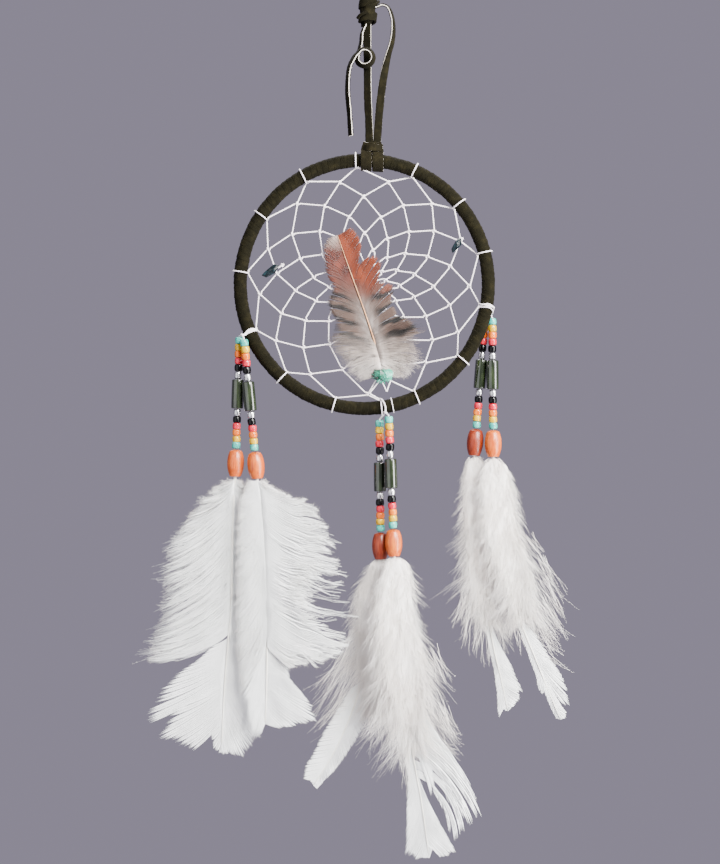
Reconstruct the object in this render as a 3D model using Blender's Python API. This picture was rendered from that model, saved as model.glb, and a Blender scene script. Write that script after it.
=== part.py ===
"""Small hanging dream catcher: leather-wrapped wire hoop, woven web, three pairs
of beaded strands with white feathers, and a suede-lace hanger.

Frame: metres, +Z up.  The origin is the underside of the hanger loop's top,
where it rests on a nail.  The hoop lies in the XZ plane, its face towards -Y.
All dimensions below are in millimetres and are scaled once by MM.
"""
import math

import bmesh
import bpy
from mathutils import Matrix, Vector

MM = 0.001

# ---------------------------------------------------------------- dimensions
GAP = 0.3                      # clearance between pieces that touch

# hoop
HOOP_X, HOOP_Z = -3.27, -160.9 # centre of the hoop
HOOP_R = 60.6                  # radius of the wire's centre line (5 inch hoop outside)
WIRE_R = 1.5                   # half of a 3 mm wire
WRAP_IN, WRAP_OUT = 1.9, 3.3   # inner and outer radius of the lace winding
HOOP_SEGS = 40

# lace hitch on the rim
HITCH_X = 0.37
HITCH_TOP = -91.2

# suede lace
LACE_W, LACE_T = 3.8, 1.4

# web
WEB_THREAD = 0.9
TIE_ANGLES = [93.8, 66.0, 40.2, 14.6, -10.2, -37.7, -65.2, -82.3,
              -104.4, -131.7, -157.3, -185.9, -213.9, -240.6]
TIE_R = 56.3
ROUND_R = [51.2, 42.8, 33.7, 25.0, 17.3, 10.6, 5.6]   # knot radius of each round
ROUND_DRAG = [-3.2, 0.3, -1.0, 0.3, -0.8, 0.0, 0.0]   # degrees each round is pulled round
# hand-tied knots that sit off the rule: (round, index) -> (extra degrees, radius)
ODD_KNOTS = {(0, 5): (2.6, 48.4), (0, 6): (-2.7, 45.5), (0, 7): (8.0, 53.6),
             (0, 11): (2.9, 49.9)}

# strands: beads measured down from the centre of the first bead
SEED_R, SEED_VALLEY = 1.95, 1.35
UPPER_BEADS = [0.0, 3.35, 6.7, 10.0, 13.2, 16.9]
LOWER_BEADS = [35.2, 38.6, 41.8, 44.9, 48.0, 51.0]
UPPER_SPAN = (-1.65, 18.75)
TUBE_SPAN = (19.1, 33.2)
LOWER_SPAN = (33.5, 52.6)
WOOD_SPAN = (53.2, 66.2)
TUBE_R, WOOD_R = 3.0, 4.15
BORE_R, THREAD_R = 0.75, 0.4
WOOD_BORE_R, QUILL_R = 1.0, 0.6
KNOT_R = 1.0

# each pair: knot centre; each strand: first bead centre and a point far down its axis
PAIRS = {
    "left": (-63.3, -4.4, -184.5),
    "centre": (6.96, -4.85, -224.1),
    "right": (58.05, 5.3, -176.2),
}
TIE_LOOPS = {"left": -154.9, "centre": -79.4, "right": -12.9}
STRANDS = {
    "left_outer": ("left", (-64.2, -2.4, -188.4), (-66.0, -2.4, -248.1)),
    "left_inner": ("left", (-61.5, -6.4, -189.7), (-55.8, -6.4, -250.1)),
    "centre_back": ("centre", (4.15, -2.0, -228.8), (4.6, -2.0, -287.6)),
    "centre_front": ("centre", (8.55, -7.8, -227.0), (10.9, -7.8, -285.7)),
    "right_back": ("right", (56.0, 7.4, -178.5), (51.2, 7.4, -239.2)),
    "right_front": ("right", (59.35, 3.4, -178.9), (59.9, 3.4, -239.5)),
}

# feather lofts: stations (z, left x, right x, middle y, half thickness)
FEATHERS = {
    "left_outer": [
        (-257.4, -69.4, -65.2, -2.4, 0.8), (-261.8, -76.2, -61.5, -2.3, 1.2),
        (-271.6, -85.0, -59.1, -2.3, 1.4), (-283.3, -96.7, -56.2, -2.2, 1.5),
        (-299.0, -100.1, -55.2, -2.2, 1.5), (-314.1, -101.1, -56.2, -2.2, 1.5),
        (-332.7, -107.0, -57.2, -2.2, 1.4), (-352.2, -101.0, -58.5, -2.2, 1.2),
        (-373.7, -108.0, -53.2, -2.2, 0.9), (-383.5, -97.2, -53.2, -2.2, 0.7),
        (-390.8, -79.6, -55.7, -2.2, 0.5)],
    "left_inner": [
        (-259.4, -55.6, -51.4, -6.4, 0.8), (-262.9, -61.1, -45.4, -6.5, 1.0),
        (-268.7, -65.0, -30.8, -6.6, 1.3), (-278.4, -65.9, -23.0, -6.7, 1.4),
        (-300.9, -65.9, -16.1, -6.7, 1.5), (-324.8, -65.9, -15.1, -6.7, 1.5),
        (-344.4, -65.0, -15.1, -6.7, 1.4), (-351.5, -64.0, -33.5, -6.7, 1.1),
        (-363.9, -64.0, -29.3, -6.7, 0.9), (-372.7, -64.0, -28.3, -6.7, 0.7),
        (-377.1, -62.0, -45.3, -6.7, 0.5)],
    "centre_back": [
        (-296.6, 1.5, 8.0, -1.8, 1.0), (-305.8, -6.4, 12.2, 0.6, 2.2),
        (-314.1, -10.3, 14.2, 2.6, 2.4), (-326.3, -10.7, 16.1, 3.6, 3.0),
        (-342.4, -12.2, 16.1, 3.8, 3.0), (-360.5, -11.5, 11.2, 3.8, 2.8),
        (-369.3, -17.6, 4.4, 3.4, 2.2), (-382.5, -28.3, -2.4, 3.0, 1.4),
        (-393.2, -31.3, -10.3, 2.8, 1.0), (-402.0, -33.2, -20.0, 2.8, 0.7),
        (-407.4, -29.8, -23.9, 2.8, 0.5)],
    "centre_front": [
        (-295.0, 8.0, 14.4, -8.2, 1.0), (-302.9, 0.5, 22.0, -10.6, 2.2),
        (-315.1, -1.5, 22.5, -12.6, 2.6), (-334.6, -2.4, 30.8, -13.4, 3.2),
        (-355.6, -0.5, 37.6, -13.4, 3.2), (-371.7, 0.5, 38.1, -13.2, 2.8),
        (-381.5, 4.4, 36.6, -12.8, 2.2), (-388.8, 13.2, 33.7, -12.4, 1.6),
        (-412.8, 16.1, 48.4, -12.0, 1.0), (-431.3, 16.6, 41.5, -12.0, 0.7),
        (-438.2, 20.0, 37.6, -12.0, 0.5)],
    "right_back": [
        (-248.2, 47.9, 53.0, 7.5, 1.0), (-254.6, 44.2, 57.8, 8.2, 1.6),
        (-271.1, 42.5, 61.6, 9.6, 2.4), (-285.8, 41.5, 63.0, 10.2, 2.8),
        (-302.9, 41.5, 65.5, 10.4, 2.8), (-320.9, 41.0, 66.9, 10.2, 2.4),
        (-331.7, 40.5, 67.9, 9.8, 2.0), (-344.4, 56.2, 71.0, 9.2, 1.4),
        (-356.6, 60.6, 74.7, 9.0, 1.0), (-363.9, 61.6, 72.8, 9.0, 0.8),
        (-371.7, 62.5, 67.9, 9.0, 0.5)],
    "right_front": [
        (-248.6, 57.4, 62.5, 3.4, 1.0), (-254.4, 52.6, 69.0, 3.2, 1.4),
        (-261.3, 51.3, 71.8, 3.0, 1.8), (-274.0, 51.3, 73.8, 3.0, 2.0),
        (-287.2, 52.3, 79.6, 3.0, 2.0), (-302.4, 55.2, 88.9, 3.0, 2.0),
        (-315.6, 57.2, 94.3, 3.0, 1.9), (-323.9, 62.1, 95.2, 3.0, 1.7),
        (-336.7, 71.5, 90.4, 3.0, 1.3), (-354.2, 80.6, 94.8, 3.0, 0.9),
        (-372.7, 90.4, 95.7, 3.0, 0.5)],
}
WEB_FEATHER = [
    (-132.4, -23.4, -12.7), (-141.7, -23.9, -4.4), (-150.0, -22.5, 3.4),
    (-158.8, -21.0, 10.3), (-171.0, -18.6, 9.3), (-178.3, -17.6, 13.2),
    (-185.6, -18.6, 21.0), (-193.0, -18.1, 23.4), (-198.8, -15.1, 22.0),
    (-200.8, -9.3, 18.1)]

# ------------------------------------------------------------------- helpers
for ob in list(bpy.data.objects):
    bpy.data.objects.remove(ob, do_unlink=True)

SCENE = bpy.context.scene.collection
PIVOTS = {}


def pivot(name, at, parent=None):
    """An empty on a joint's axis; the pieces of that body hang from it."""
    e = bpy.data.objects.new(name, None)
    e.empty_display_size = 0.01
    SCENE.objects.link(e)
    at = Vector(at) * MM
    if parent:
        base, wbase = PIVOTS[parent]
        e.parent = base
        e.location = at - wbase
    else:
        e.location = at
    PIVOTS[name] = (e, at)


def material(name, rgb, rough, metal=0.0):
    m = bpy.data.materials.new(name)
    m.use_nodes = True
    b = m.node_tree.nodes["Principled BSDF"]
    b.inputs["Base Color"].default_value = (*rgb, 1.0)
    b.inputs["Roughness"].default_value = rough
    b.inputs["Metallic"].default_value = metal
    m.diffuse_color = (*rgb, 1.0)
    return m


def place(name, data, mat, body):
    ob = bpy.data.objects.new(name, data)
    SCENE.objects.link(ob)
    ob.parent = PIVOTS[body][0]
    data.materials.append(mat)
    return ob


def solid(name, verts, faces, mat, body, smooth=True):
    """A closed mesh from points in millimetres in the part's frame."""
    off = PIVOTS[body][1]
    bm = bmesh.new()
    vs = [bm.verts.new(Vector(v) * MM - off) for v in verts]
    for f in faces:
        bm.faces.new([vs[i] for i in f])
    bmesh.ops.recalc_face_normals(bm, faces=bm.faces[:])
    me = bpy.data.meshes.new(name)
    bm.to_mesh(me)
    bm.free()
    if smooth:
        me.shade_smooth()
        me.set_sharp_from_angle(angle=math.radians(35))
    return place(name, me, mat, body)


def loft(rings, closed=False):
    """Skin equal rings of points in order; caps at both ends unless closed."""
    n = len(rings[0])
    verts = [p for r in rings for p in r]
    faces = []
    last = len(rings) if closed else len(rings) - 1
    for i in range(last):
        a, b = i * n, ((i + 1) % len(rings)) * n
        for j in range(n):
            k = (j + 1) % n
            faces.append((a + j, a + k, b + k, b + j))
    if not closed:
        faces.append(tuple(range(n - 1, -1, -1)))
        faces.append(tuple((len(rings) - 1) * n + j for j in range(n)))
    return verts, faces


def turned(profile, top, down, sides, phase=0.0):
    """Revolve a closed profile of (distance down the axis, radius) pairs."""
    d = Vector(down).normalized()
    u = d.cross(Vector((0, 1, 0))).normalized()
    v = d.cross(u)
    rings = []
    for s, r in profile:
        rings.append([Vector(top) + d * s
                      + (u * math.cos(phase + 2 * math.pi * j / sides)
                         + v * math.sin(phase + 2 * math.pi * j / sides)) * r
                      for j in range(sides)])
    return loft(rings, closed=True)


def smooth_path(points, count):
    """Catmull-Rom curve through the points, resampled evenly."""
    pts = [Vector(p) for p in points]
    ext = [2 * pts[0] - pts[1]] + pts + [2 * pts[-1] - pts[-2]]
    dense = []
    for i in range(1, len(ext) - 2):
        p0, p1, p2, p3 = ext[i - 1:i + 3]
        for k in range(24):
            t = k / 24
            dense.append(0.5 * ((2 * p1) + (p2 - p0) * t
                                + (2 * p0 - 5 * p1 + 4 * p2 - p3) * t * t
                                + (3 * p1 - p0 - 3 * p2 + p3) * t ** 3))
    dense.append(pts[-1])
    cum = [0.0]
    for a, b in zip(dense, dense[1:]):
        cum.append(cum[-1] + (b - a).length)
    out = []
    j = 0
    for i in range(count):
        want = cum[-1] * i / (count - 1)
        while j < len(cum) - 2 and cum[j + 1] < want:
            j += 1
        f = (want - cum[j]) / max(cum[j + 1] - cum[j], 1e-9)
        out.append(dense[j].lerp(dense[j + 1], min(max(f, 0), 1)))
    return out


def band(points, count, widths, width=LACE_W, thick=LACE_T):
    """A flat lace swept along a path; widths gives its width direction by turn
    angle: 0 is along Y (seen on edge), 90 is across the path (seen flat)."""
    pts = smooth_path(points, count)
    rings = []
    for i, p in enumerate(pts):
        t = (pts[min(i + 1, count - 1)] - pts[max(i - 1, 0)]).normalized()
        y = Vector((0, 1, 0))
        y = (y - t * y.dot(t)).normalized()
        side = t.cross(y)
        f = i / (count - 1) * (len(widths) - 1)
        k = min(int(f), len(widths) - 2)
        a = math.radians(widths[k] + (widths[k + 1] - widths[k]) * (f - k))
        w = y * math.cos(a) + side * math.sin(a)
        n = t.cross(w)
        rings.append([p + w * width / 2 + n * thick / 2, p - w * width / 2 + n * thick / 2,
                      p - w * width / 2 - n * thick / 2, p + w * width / 2 - n * thick / 2])
    return loft(rings)


def rim_point(angle, radius, y=0.0):
    a = math.radians(angle)
    return Vector((HOOP_X + radius * math.cos(a), y, HOOP_Z + radius * math.sin(a)))


def rim_loop(angle, inner=WRAP_OUT + GAP, thick=0.75, wide=0.8, sides=10):
    """One turn of thread round the wrapped rim at the given angle."""
    a = math.radians(angle)
    radial = Vector((math.cos(a), 0, math.sin(a)))
    along = Vector((-math.sin(a), 0, math.cos(a)))
    c = rim_point(angle, HOOP_R)
    r0 = inner / math.cos(math.pi / sides)
    rings = []
    for j in range(sides):
        b = 2 * math.pi * (j + 0.5) / sides
        d = radial * math.cos(b) + Vector((0, 1, 0)) * math.sin(b)
        rings.append([c + d * r0 - along * wide / 2, c + d * (r0 + thick) - along * wide / 2,
                      c + d * (r0 + thick) + along * wide / 2, c + d * r0 + along * wide / 2])
    return loft(rings, closed=True)


def net(nodes, edges, half_w, half_t):
    """A flat net of straight threads as one closed solid.

    nodes are (x, z); every node's threads are sorted round it, a corner is set
    where the sides of two neighbouring threads meet, and the net is skinned
    from those corners on both faces and along every thread's two sides."""
    nb = {i: [] for i in range(len(nodes))}
    for a, b in edges:
        nb[a].append(b)
        nb[b].append(a)
    corner, verts = {}, []
    for i, (x, z) in enumerate(nodes):
        ang = sorted((math.atan2(nodes[j][1] - z, nodes[j][0] - x), j) for j in nb[i])
        nb[i] = [j for _, j in ang]
        m = len(ang)
        for k in range(m):
            a0, j0 = ang[k]
            a1, j1 = ang[(k + 1) % m]
            span = (a1 - a0) % (2 * math.pi)
            mid = a0 + span / 2
            d = half_w / max(math.sin(span / 2), 0.3)
            corner[(i, j0, j1)] = len(verts)
            verts.append((x + d * math.cos(mid), z + d * math.sin(mid)))
    n = len(verts)
    pts = [(x, -half_t, z) for x, z in verts] + [(x, half_t, z) for x, z in verts]
    faces = []

    def left(i, j):      # corner after thread i-j, going round i
        k = nb[i].index(j)
        return corner[(i, j, nb[i][(k + 1) % len(nb[i])])]

    def right(i, j):     # corner before thread i-j
        k = nb[i].index(j)
        return corner[(i, nb[i][k - 1], j)]

    for i in nb:
        ring = [left(i, j) for j in nb[i]]
        if len(ring) > 2:
            faces.append(tuple(ring))
            faces.append(tuple(n + r for r in reversed(ring)))
    for a, b in edges:
        al, ar, bl, br = left(a, b), right(a, b), left(b, a), right(b, a)
        faces.append((ar, bl, br, al))
        faces.append(tuple(n + q for q in (al, br, bl, ar)))
        faces.append((al, br, n + br, n + al))
        faces.append((ar, n + ar, n + bl, bl))
    return pts, faces


def join_solids(name, parts, mat, body):
    """Union of closed solids into one body."""
    base = solid(name, *parts[0], mat, body)
    verts, faces = [], []
    for v, f in parts[1:]:
        o = len(verts)
        verts += v
        faces += [tuple(i + o for i in q) for q in f]
    tool = solid(name + "_tool", verts, faces, mat, body)
    mod = base.modifiers.new("union", "BOOLEAN")
    mod.operation = "UNION"
    mod.solver = "EXACT"
    mod.use_self = False
    mod.object = tool
    tool.hide_render = True
    tool.display_type = "WIRE"
    return base


def tube_curve(name, points, radius, mat, body):
    off = PIVOTS[body][1]
    cu = bpy.data.curves.new(name, "CURVE")
    cu.dimensions = "3D"
    sp = cu.splines.new("POLY")
    sp.points.add(len(points) - 1)
    for q, p in zip(sp.points, points):
        w = Vector(p) * MM - off
        q.co = (w.x, w.y, w.z, 1.0)
    cu.bevel_depth = radius * MM
    cu.bevel_resolution = 2
    cu.use_fill_caps = True
    cu.render_resolution_u = 0
    return place(name, cu, mat, body)


# ----------------------------------------------------------------- materials
M = {
    "suede": ((0.035, 0.030, 0.022), 0.95, 0.0),
    "steel": ((0.55, 0.55, 0.56), 0.35, 1.0),
    "thread": ((0.86, 0.82, 0.84), 0.75, 0.0),
    "seed_beads": ((0.90, 0.45, 0.25), 0.25, 0.0),
    "green_glass": ((0.03, 0.06, 0.02), 0.10, 0.0),
    "orange_wood": ((0.80, 0.24, 0.07), 0.40, 0.0),
    "white_feather": ((0.90, 0.92, 0.90), 0.85, 0.0),
    "rust_feather": ((0.48, 0.17, 0.09), 0.80, 0.0),
    "teal_stone": ((0.16, 0.60, 0.50), 0.40, 0.0),
    "dark_stone": ((0.02, 0.05, 0.06), 0.30, 0.0),
}


def mat(kind, name):
    return material(name, *M[kind])


# --------------------------------------------------------------------- hanger
pivot("hanger", (0, 0, 0))

loop_in = [(-1.9, 0, -20.2), (-3.3, 0, -16.5), (-4.9, 0, -11.5), (-5.2, 0, -6.5),
           (-3.9, 0, -1.8), (0, 0, LACE_T / 2), (3.9, 0, -1.8), (5.2, 0, -6.5),
           (4.5, 0, -11.5), (2.2, 0, -16.5), (0.4, 0, -20.2)]
solid("nail_loop", *band(loop_in, 26, [0, 0]), mat("suede", "suede_loop"), "hanger")

# overhand knot: a soft lump with a flat top and bottom
kx, kz0, kz1 = -1.6, -20.5, -34.0
knot_rings = []
for z, sx, sy in [(kz0, 2.7, 2.9), (-22.0, 3.9, 3.8), (-25.0, 4.5, 4.3), (-28.0, 4.6, 4.4),
                  (-31.5, 4.2, 4.3), (-33.3, 3.6, 4.2), (kz1, 2.9, 4.1)]:
    knot_rings.append([Vector((kx + sx * math.cos(2 * math.pi * (j + 0.5) / 10),
                               sy * math.sin(2 * math.pi * (j + 0.5) / 10), z))
                       for j in range(10)])
solid("hanger_knot", *loft(knot_rings), mat("suede", "suede_knot"), "hanger")

solid("left_strap", *band([(-1.8, 1.2, kz1 - GAP), (-1.7, 1.2, -52), (-1.5, 1.0, -70),
                           (-0.9, 0.4, -84), (-0.85, 0.0, HITCH_TOP + GAP)],
                          12, [90, 90]), mat("suede", "suede_left_strap"), "hanger")
solid("right_strap", *band([(3.4, 0, -25.0), (5.6, 0, -24.3), (8.2, 0, -25.4), (9.9, 0, -28.8),
                            (10.9, 0, -34.5), (10.4, 0, -42), (8.6, 0, -50), (6.8, 0, -60),
                            (5.3, 0, -75), (3.45, 0, HITCH_TOP + GAP)],
                           26, [0, 0, 10, 50, 80, 90, 90]), mat("suede", "suede_right_strap"), "hanger")

# free end of the lace: one curl, then straight down
curl_c, curl_r = (-2.93, -50.8), 3.9
tail = [(-2.4, -2.3, kz1 - GAP), (-4.3, -2.35, -38.5), (-4.7, -2.4, -43.0), (-5.9, -2.6, -48.0)]
for k in range(0, 11):
    a = math.radians(195 + 32 * k)
    tail.append((curl_c[0] + curl_r * math.cos(a), -2.7 - 0.37 * k, curl_c[1] + curl_r * math.sin(a)))
tail += [(-8.3, -7.0, -51.5), (-10.6, -7.0, -56.7), (-11.4, -6.6, -66.9),
         (-10.5, -6.2, -78.2), (-9.8, -6.0, -89.2)]
solid("lace_tail", *band(tail, 52, [0, 0]), mat("suede", "suede_tail"), "hanger")

# ---------------------------------------------------------------------- hitch
tilt_z = HOOP_Z + math.sqrt(HOOP_R ** 2 - (HITCH_X - HOOP_X) ** 2)
pivot("hitch", (HITCH_X, 0, HITCH_TOP), "hanger")
# sections across the rim: round below, narrowing up to the two straps
rings = []
for x, r, up in [(-4.4, 4.5, 6.0), (-3.6, 4.7, 9.2), (-1.8, 5.2, 9.2), (5.2, 5.3, 9.2),
                 (5.8, 5.1, 8.4), (6.1, 4.8, 6.0)]:
    sec = [(r * math.cos(math.radians(-30 * k)), r * math.sin(math.radians(-30 * k))) for k in range(7)]
    sec += [(-4.5, min(4.6, up - 1.2)), (-2.6, up), (2.6, up), (4.5, min(4.6, up - 1.2))]
    rings.append([Vector((x, y, tilt_z + z)) for y, z in sec])
hitch = solid("rim_hitch", *loft(rings), mat("suede", "suede_hitch"), "hitch")
slope = math.asin((HITCH_X - HOOP_X) / HOOP_R)
along = Vector((math.cos(slope), 0, -math.sin(slope)))
mid = Vector((HITCH_X, 0, tilt_z - 0.12))
bore = solid("hitch_bore", *turned([(0, 0.0001), (0, 3.98), (16, 3.98), (16, 0.0001)],
                                   mid - along * 8, along, 16), mat("suede", "bore_tool"), "hitch")
bm = bmesh.new()
bm.from_mesh(bore.data)
bmesh.ops.remove_doubles(bm, verts=bm.verts[:], dist=2e-6)
bmesh.ops.recalc_face_normals(bm, faces=bm.faces[:])
bm.to_mesh(bore.data)
bm.free()
bore.hide_render = True
bore.display_type = "WIRE"
cut = hitch.modifiers.new("bore", "BOOLEAN")
cut.operation = "DIFFERENCE"
cut.solver = "EXACT"
cut.object = bore

# ----------------------------------------------------------------------- hoop
pivot("hoop", (HITCH_X, 0, tilt_z), "hitch")
hitch_angle = 90 - math.degrees(slope)


def torus_section(angle, radii, sides):
    a = math.radians(angle)
    radial = Vector((math.cos(a), 0, math.sin(a)))
    c = rim_point(angle, HOOP_R)
    return [[c + (radial * math.cos(2 * math.pi * j / sides)
                  + Vector((0, 1, 0)) * math.sin(2 * math.pi * j / sides)) * r
             for j in range(sides)] for r in radii]


solid("hoop_ring", *loft([torus_section(hitch_angle + 360 * i / HOOP_SEGS, [WIRE_R], 6)[0]
                          for i in range(HOOP_SEGS)], closed=True), mat("steel", "steel_ring"), "hoop")

# the winding is an open-ended sleeve; its two ends meet under the hitch
sides = 9
angles = [hitch_angle + 0.45 + 359.1 * i / HOOP_SEGS for i in range(HOOP_SEGS + 1)]
outer = [torus_section(a, [WRAP_OUT], sides)[0] for a in angles]
inner = [torus_section(a, [WRAP_IN], sides)[0] for a in angles]
verts = [p for r in outer for p in r] + [p for r in inner for p in r]
faces, m = [], (HOOP_SEGS + 1) * sides
for i in range(HOOP_SEGS):
    for j in range(sides):
        k = (j + 1) % sides
        a, b = i * sides, (i + 1) * sides
        faces.append((a + j, a + k, b + k, b + j))
        faces.append((m + a + j, m + b + j, m + b + k, m + a + k))
for e in (0, HOOP_SEGS * sides):
    for j in range(sides):
        k = (j + 1) % sides
        faces.append((e + j, m + e + j, m + e + k, e + k))
solid("hoop_wrap", verts, faces, mat("suede", "suede_wrap"), "hoop")

# ------------------------------------------------------------------------ web
n = len(TIE_ANGLES)
knots = [[(a, TIE_R) for a in TIE_ANGLES]]
for r, (radius, drag) in enumerate(zip(ROUND_R, ROUND_DRAG)):
    up = knots[-1]
    row = []
    for i in range(n):
        a0, a1 = up[i][0], up[(i + 1) % n][0]
        if i == n - 1:
            a1 -= 360
        extra, rad = ODD_KNOTS.get((r, i), (0.0, radius))
        row.append(((a0 + a1) / 2 + drag + extra, rad))
    knots.append(row)


def xz(angle, radius):
    p = rim_point(angle, radius)
    return p.x, p.z


# first round: half-hitched over the rim at every tie
nodes = [xz(*k) for k in knots[0]] + [xz(*k) for k in knots[1]]
edges = [(i, n + i) for i in range(n)] + [(n + i, (i + 1) % n) for i in range(n)]
parts = [net(nodes, edges, WEB_THREAD / 2, 0.38)] + [rim_loop(a) for a in TIE_ANGLES]
join_solids("web_first_round", parts, mat("thread", "thread_first_round"), "hoop")

# the rounds inside it, each knotted half way along the one before
nodes = [xz(a, r - 1.45) for a, r in knots[1]]
edges = []
rows = knots[2:]
for r, row in enumerate(rows):
    o = len(nodes)
    nodes += [xz(*k) for k in row]
    for i in range(n):
        edges += [(o - n + i, o + i), (o + i, o - n + (i + 1) % n)]
o = len(nodes) - n
edges += [(o + i, o + (i + 1) % n) for i in range(n)]
solid("web_net", *net(nodes, edges, WEB_THREAD / 2, 0.45), mat("thread", "thread_net"), "hoop")

# feather tied to the web, with its bead, and two stone chips
rings = []
for i, (z, x0, x1) in enumerate(WEB_FEATHER):
    t = 0.45 if i in (0, len(WEB_FEATHER) - 1) else 0.9
    w = (x1 - x0) * 0.3
    rings.append([Vector(p) for p in ((x0, -2.4, z), (x0 + w, -2.4 - t, z), (x1 - w, -2.4 - t, z),
                                      (x1, -2.4, z), (x1 - w, -2.4 + t, z), (x0 + w, -2.4 + t, z))])
solid("web_feather", *loft(rings), mat("rust_feather", "rust_feather"), "hoop")


def pebble(name, at, size, turn, kind, sides=8, rows=6):
    """A rounded stone: rings of points between two small flats."""
    rot = Matrix.Rotation(-math.radians(turn), 3, "Y")
    rings = []
    for i in range(rows):
        a = math.pi * (i + 0.5) / rows - math.pi / 2
        s, c = math.sin(a), math.cos(a)
        rings.append([Vector(at) + rot @ Vector((s * size[0], c * math.cos(2 * math.pi * j / sides) * size[1],
                                                 c * math.sin(2 * math.pi * j / sides) * size[2]))
                      for j in range(sides)])
    return solid(name, *loft(rings), mat(kind, name + "_stone"), "hoop")


pebble("web_bead", (4.9, -3.7, -205.7), (3.3, 2.8, 2.9), 0, "teal_stone")
pebble("left_web_chip", (-49.1, -2.6, -154.1), (4.2, 1.5, 1.9), 37, "dark_stone", 6, 4)
pebble("right_web_chip", (41.8, -2.5, -142.4), (3.3, 1.4, 1.6), 60, "dark_stone", 6, 4)

for side, angle in TIE_LOOPS.items():
    solid(side + "_rim_tie", *rim_loop(angle), mat("thread", "thread_%s_tie" % side), "hoop")

# -------------------------------------------------------------------- strands
for side, at in PAIRS.items():
    pivot(side + "_pair", at, "hoop")
    rings = []
    for i in range(5):
        a = math.pi * (i + 0.6) / 5.2 - math.pi / 2
        rings.append([Vector(at) + Vector((KNOT_R * math.cos(a) * math.cos(math.pi * j / 4),
                                           KNOT_R * math.cos(a) * math.sin(math.pi * j / 4),
                                           KNOT_R * math.sin(a))) for j in range(8)])
    solid(side + "_pair_knot", *loft(rings), mat("thread", "thread_%s_knot" % side), side + "_pair")


def stack_profile(centres, span):
    """Six seed beads in a row with one bore through them."""
    prof = [(span[0], BORE_R), (span[0], SEED_VALLEY)]
    for i, c in enumerate(centres):
        prof.append((c, SEED_R))
        if i < len(centres) - 1:
            prof.append(((c + centres[i + 1]) / 2, SEED_VALLEY))
    prof += [(span[1], SEED_VALLEY), (span[1], BORE_R)]
    return prof


for name, (side, first, far) in STRANDS.items():
    first, far = Vector(first), Vector(far)
    down = (far - first).normalized()
    knot = Vector(PAIRS[side])
    body = name + "_strand"
    pivot(body, knot, side + "_pair")

    top = first + down * (UPPER_SPAN[0] - 0.35)
    start = knot + (top - knot).normalized() * (KNOT_R + GAP)
    tube_curve(name + "_thread", [start, top, first + down * 18, first + down * (WOOD_SPAN[0] - GAP)],
               THREAD_R, mat("thread", "thread_" + name), body)
    solid(name + "_upper_beads", *turned(stack_profile(UPPER_BEADS, UPPER_SPAN), first, down, 8),
          mat("seed_beads", "beads_upper_" + name), body)
    solid(name + "_lower_beads", *turned(stack_profile(LOWER_BEADS, LOWER_SPAN), first, down, 8),
          mat("seed_beads", "beads_lower_" + name), body)
    t0, t1 = TUBE_SPAN
    solid(name + "_tube_bead", *turned([(t0, BORE_R), (t0, TUBE_R - 0.7), (t0 + 0.6, TUBE_R),
                                        (t1 - 0.6, TUBE_R), (t1, TUBE_R - 0.7), (t1, BORE_R)],
                                       first, down, 10), mat("green_glass", "glass_" + name), body)

    pendant = name + "_pendant"
    w0, w1 = WOOD_SPAN
    pivot(pendant, first + down * (w0 - GAP), body)
    half = (w1 - w0) / 2
    prof = [(w0, WOOD_BORE_R)]
    for i in range(7):
        a = math.pi * (0.5 + i) / 7
        prof.append((w0 + half - half * math.cos(a) / math.cos(math.pi / 14), WOOD_R * math.sin(a) ** 0.75))
    prof.append((w1, WOOD_BORE_R))
    solid(name + "_wood_bead", *turned(prof, first, down, 10), mat("orange_wood", "wood_" + name), pendant)

    stations = FEATHERS[name]
    rings = []
    for s in (w0 + half + 1.0, w1 + 0.7):
        c = first + down * s
        rings.append([c + Vector((QUILL_R * math.cos(math.pi * j / 3), -QUILL_R * math.sin(math.pi * j / 3), 0))
                      for j in (3, 4, 5, 0, 1, 2)])
    for z, x0, x1, y, t in stations:
        w = (x1 - x0) * 0.3
        rings.append([Vector(p) for p in ((x0, y, z), (x0 + w, y + t, z), (x1 - w, y + t, z),
                                          (x1, y, z), (x1 - w, y - t, z), (x0 + w, y - t, z))])
    solid(name + "_feather", *loft(rings), mat("white_feather", "feather_" + name), pendant)
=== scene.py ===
"""Looks of the small hanging dream catcher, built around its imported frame.

Lengths are millimetres until a mesh is made; MM scales them to metres.  Outlines of
the feathers are given on a measuring grid laid over the object's face, 0.4885 mm a
step, so the function at() turns a grid point into X and Z.
"""
import math

import bmesh
import bpy
import numpy as np
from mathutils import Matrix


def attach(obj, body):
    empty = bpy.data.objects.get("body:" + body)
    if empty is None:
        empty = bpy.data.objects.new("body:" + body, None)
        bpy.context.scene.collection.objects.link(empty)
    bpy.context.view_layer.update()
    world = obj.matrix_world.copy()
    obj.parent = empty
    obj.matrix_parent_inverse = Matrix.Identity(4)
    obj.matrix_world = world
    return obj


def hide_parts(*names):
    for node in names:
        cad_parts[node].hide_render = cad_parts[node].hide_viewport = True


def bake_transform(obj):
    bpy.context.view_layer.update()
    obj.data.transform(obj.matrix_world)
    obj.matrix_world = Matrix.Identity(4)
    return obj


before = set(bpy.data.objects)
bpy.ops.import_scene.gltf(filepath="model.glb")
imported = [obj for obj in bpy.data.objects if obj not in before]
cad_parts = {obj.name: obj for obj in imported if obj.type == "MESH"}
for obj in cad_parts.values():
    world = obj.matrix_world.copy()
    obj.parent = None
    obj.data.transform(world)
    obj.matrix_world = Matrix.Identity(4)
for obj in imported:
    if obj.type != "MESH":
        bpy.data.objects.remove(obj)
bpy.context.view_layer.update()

MM = 0.001
STEP = 0.4885
TAU = 2 * math.pi
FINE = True


def at(u, v, y=0.0):
    return ((u - 371.0) * STEP, y, -(v + 45.0) * STEP)


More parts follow.
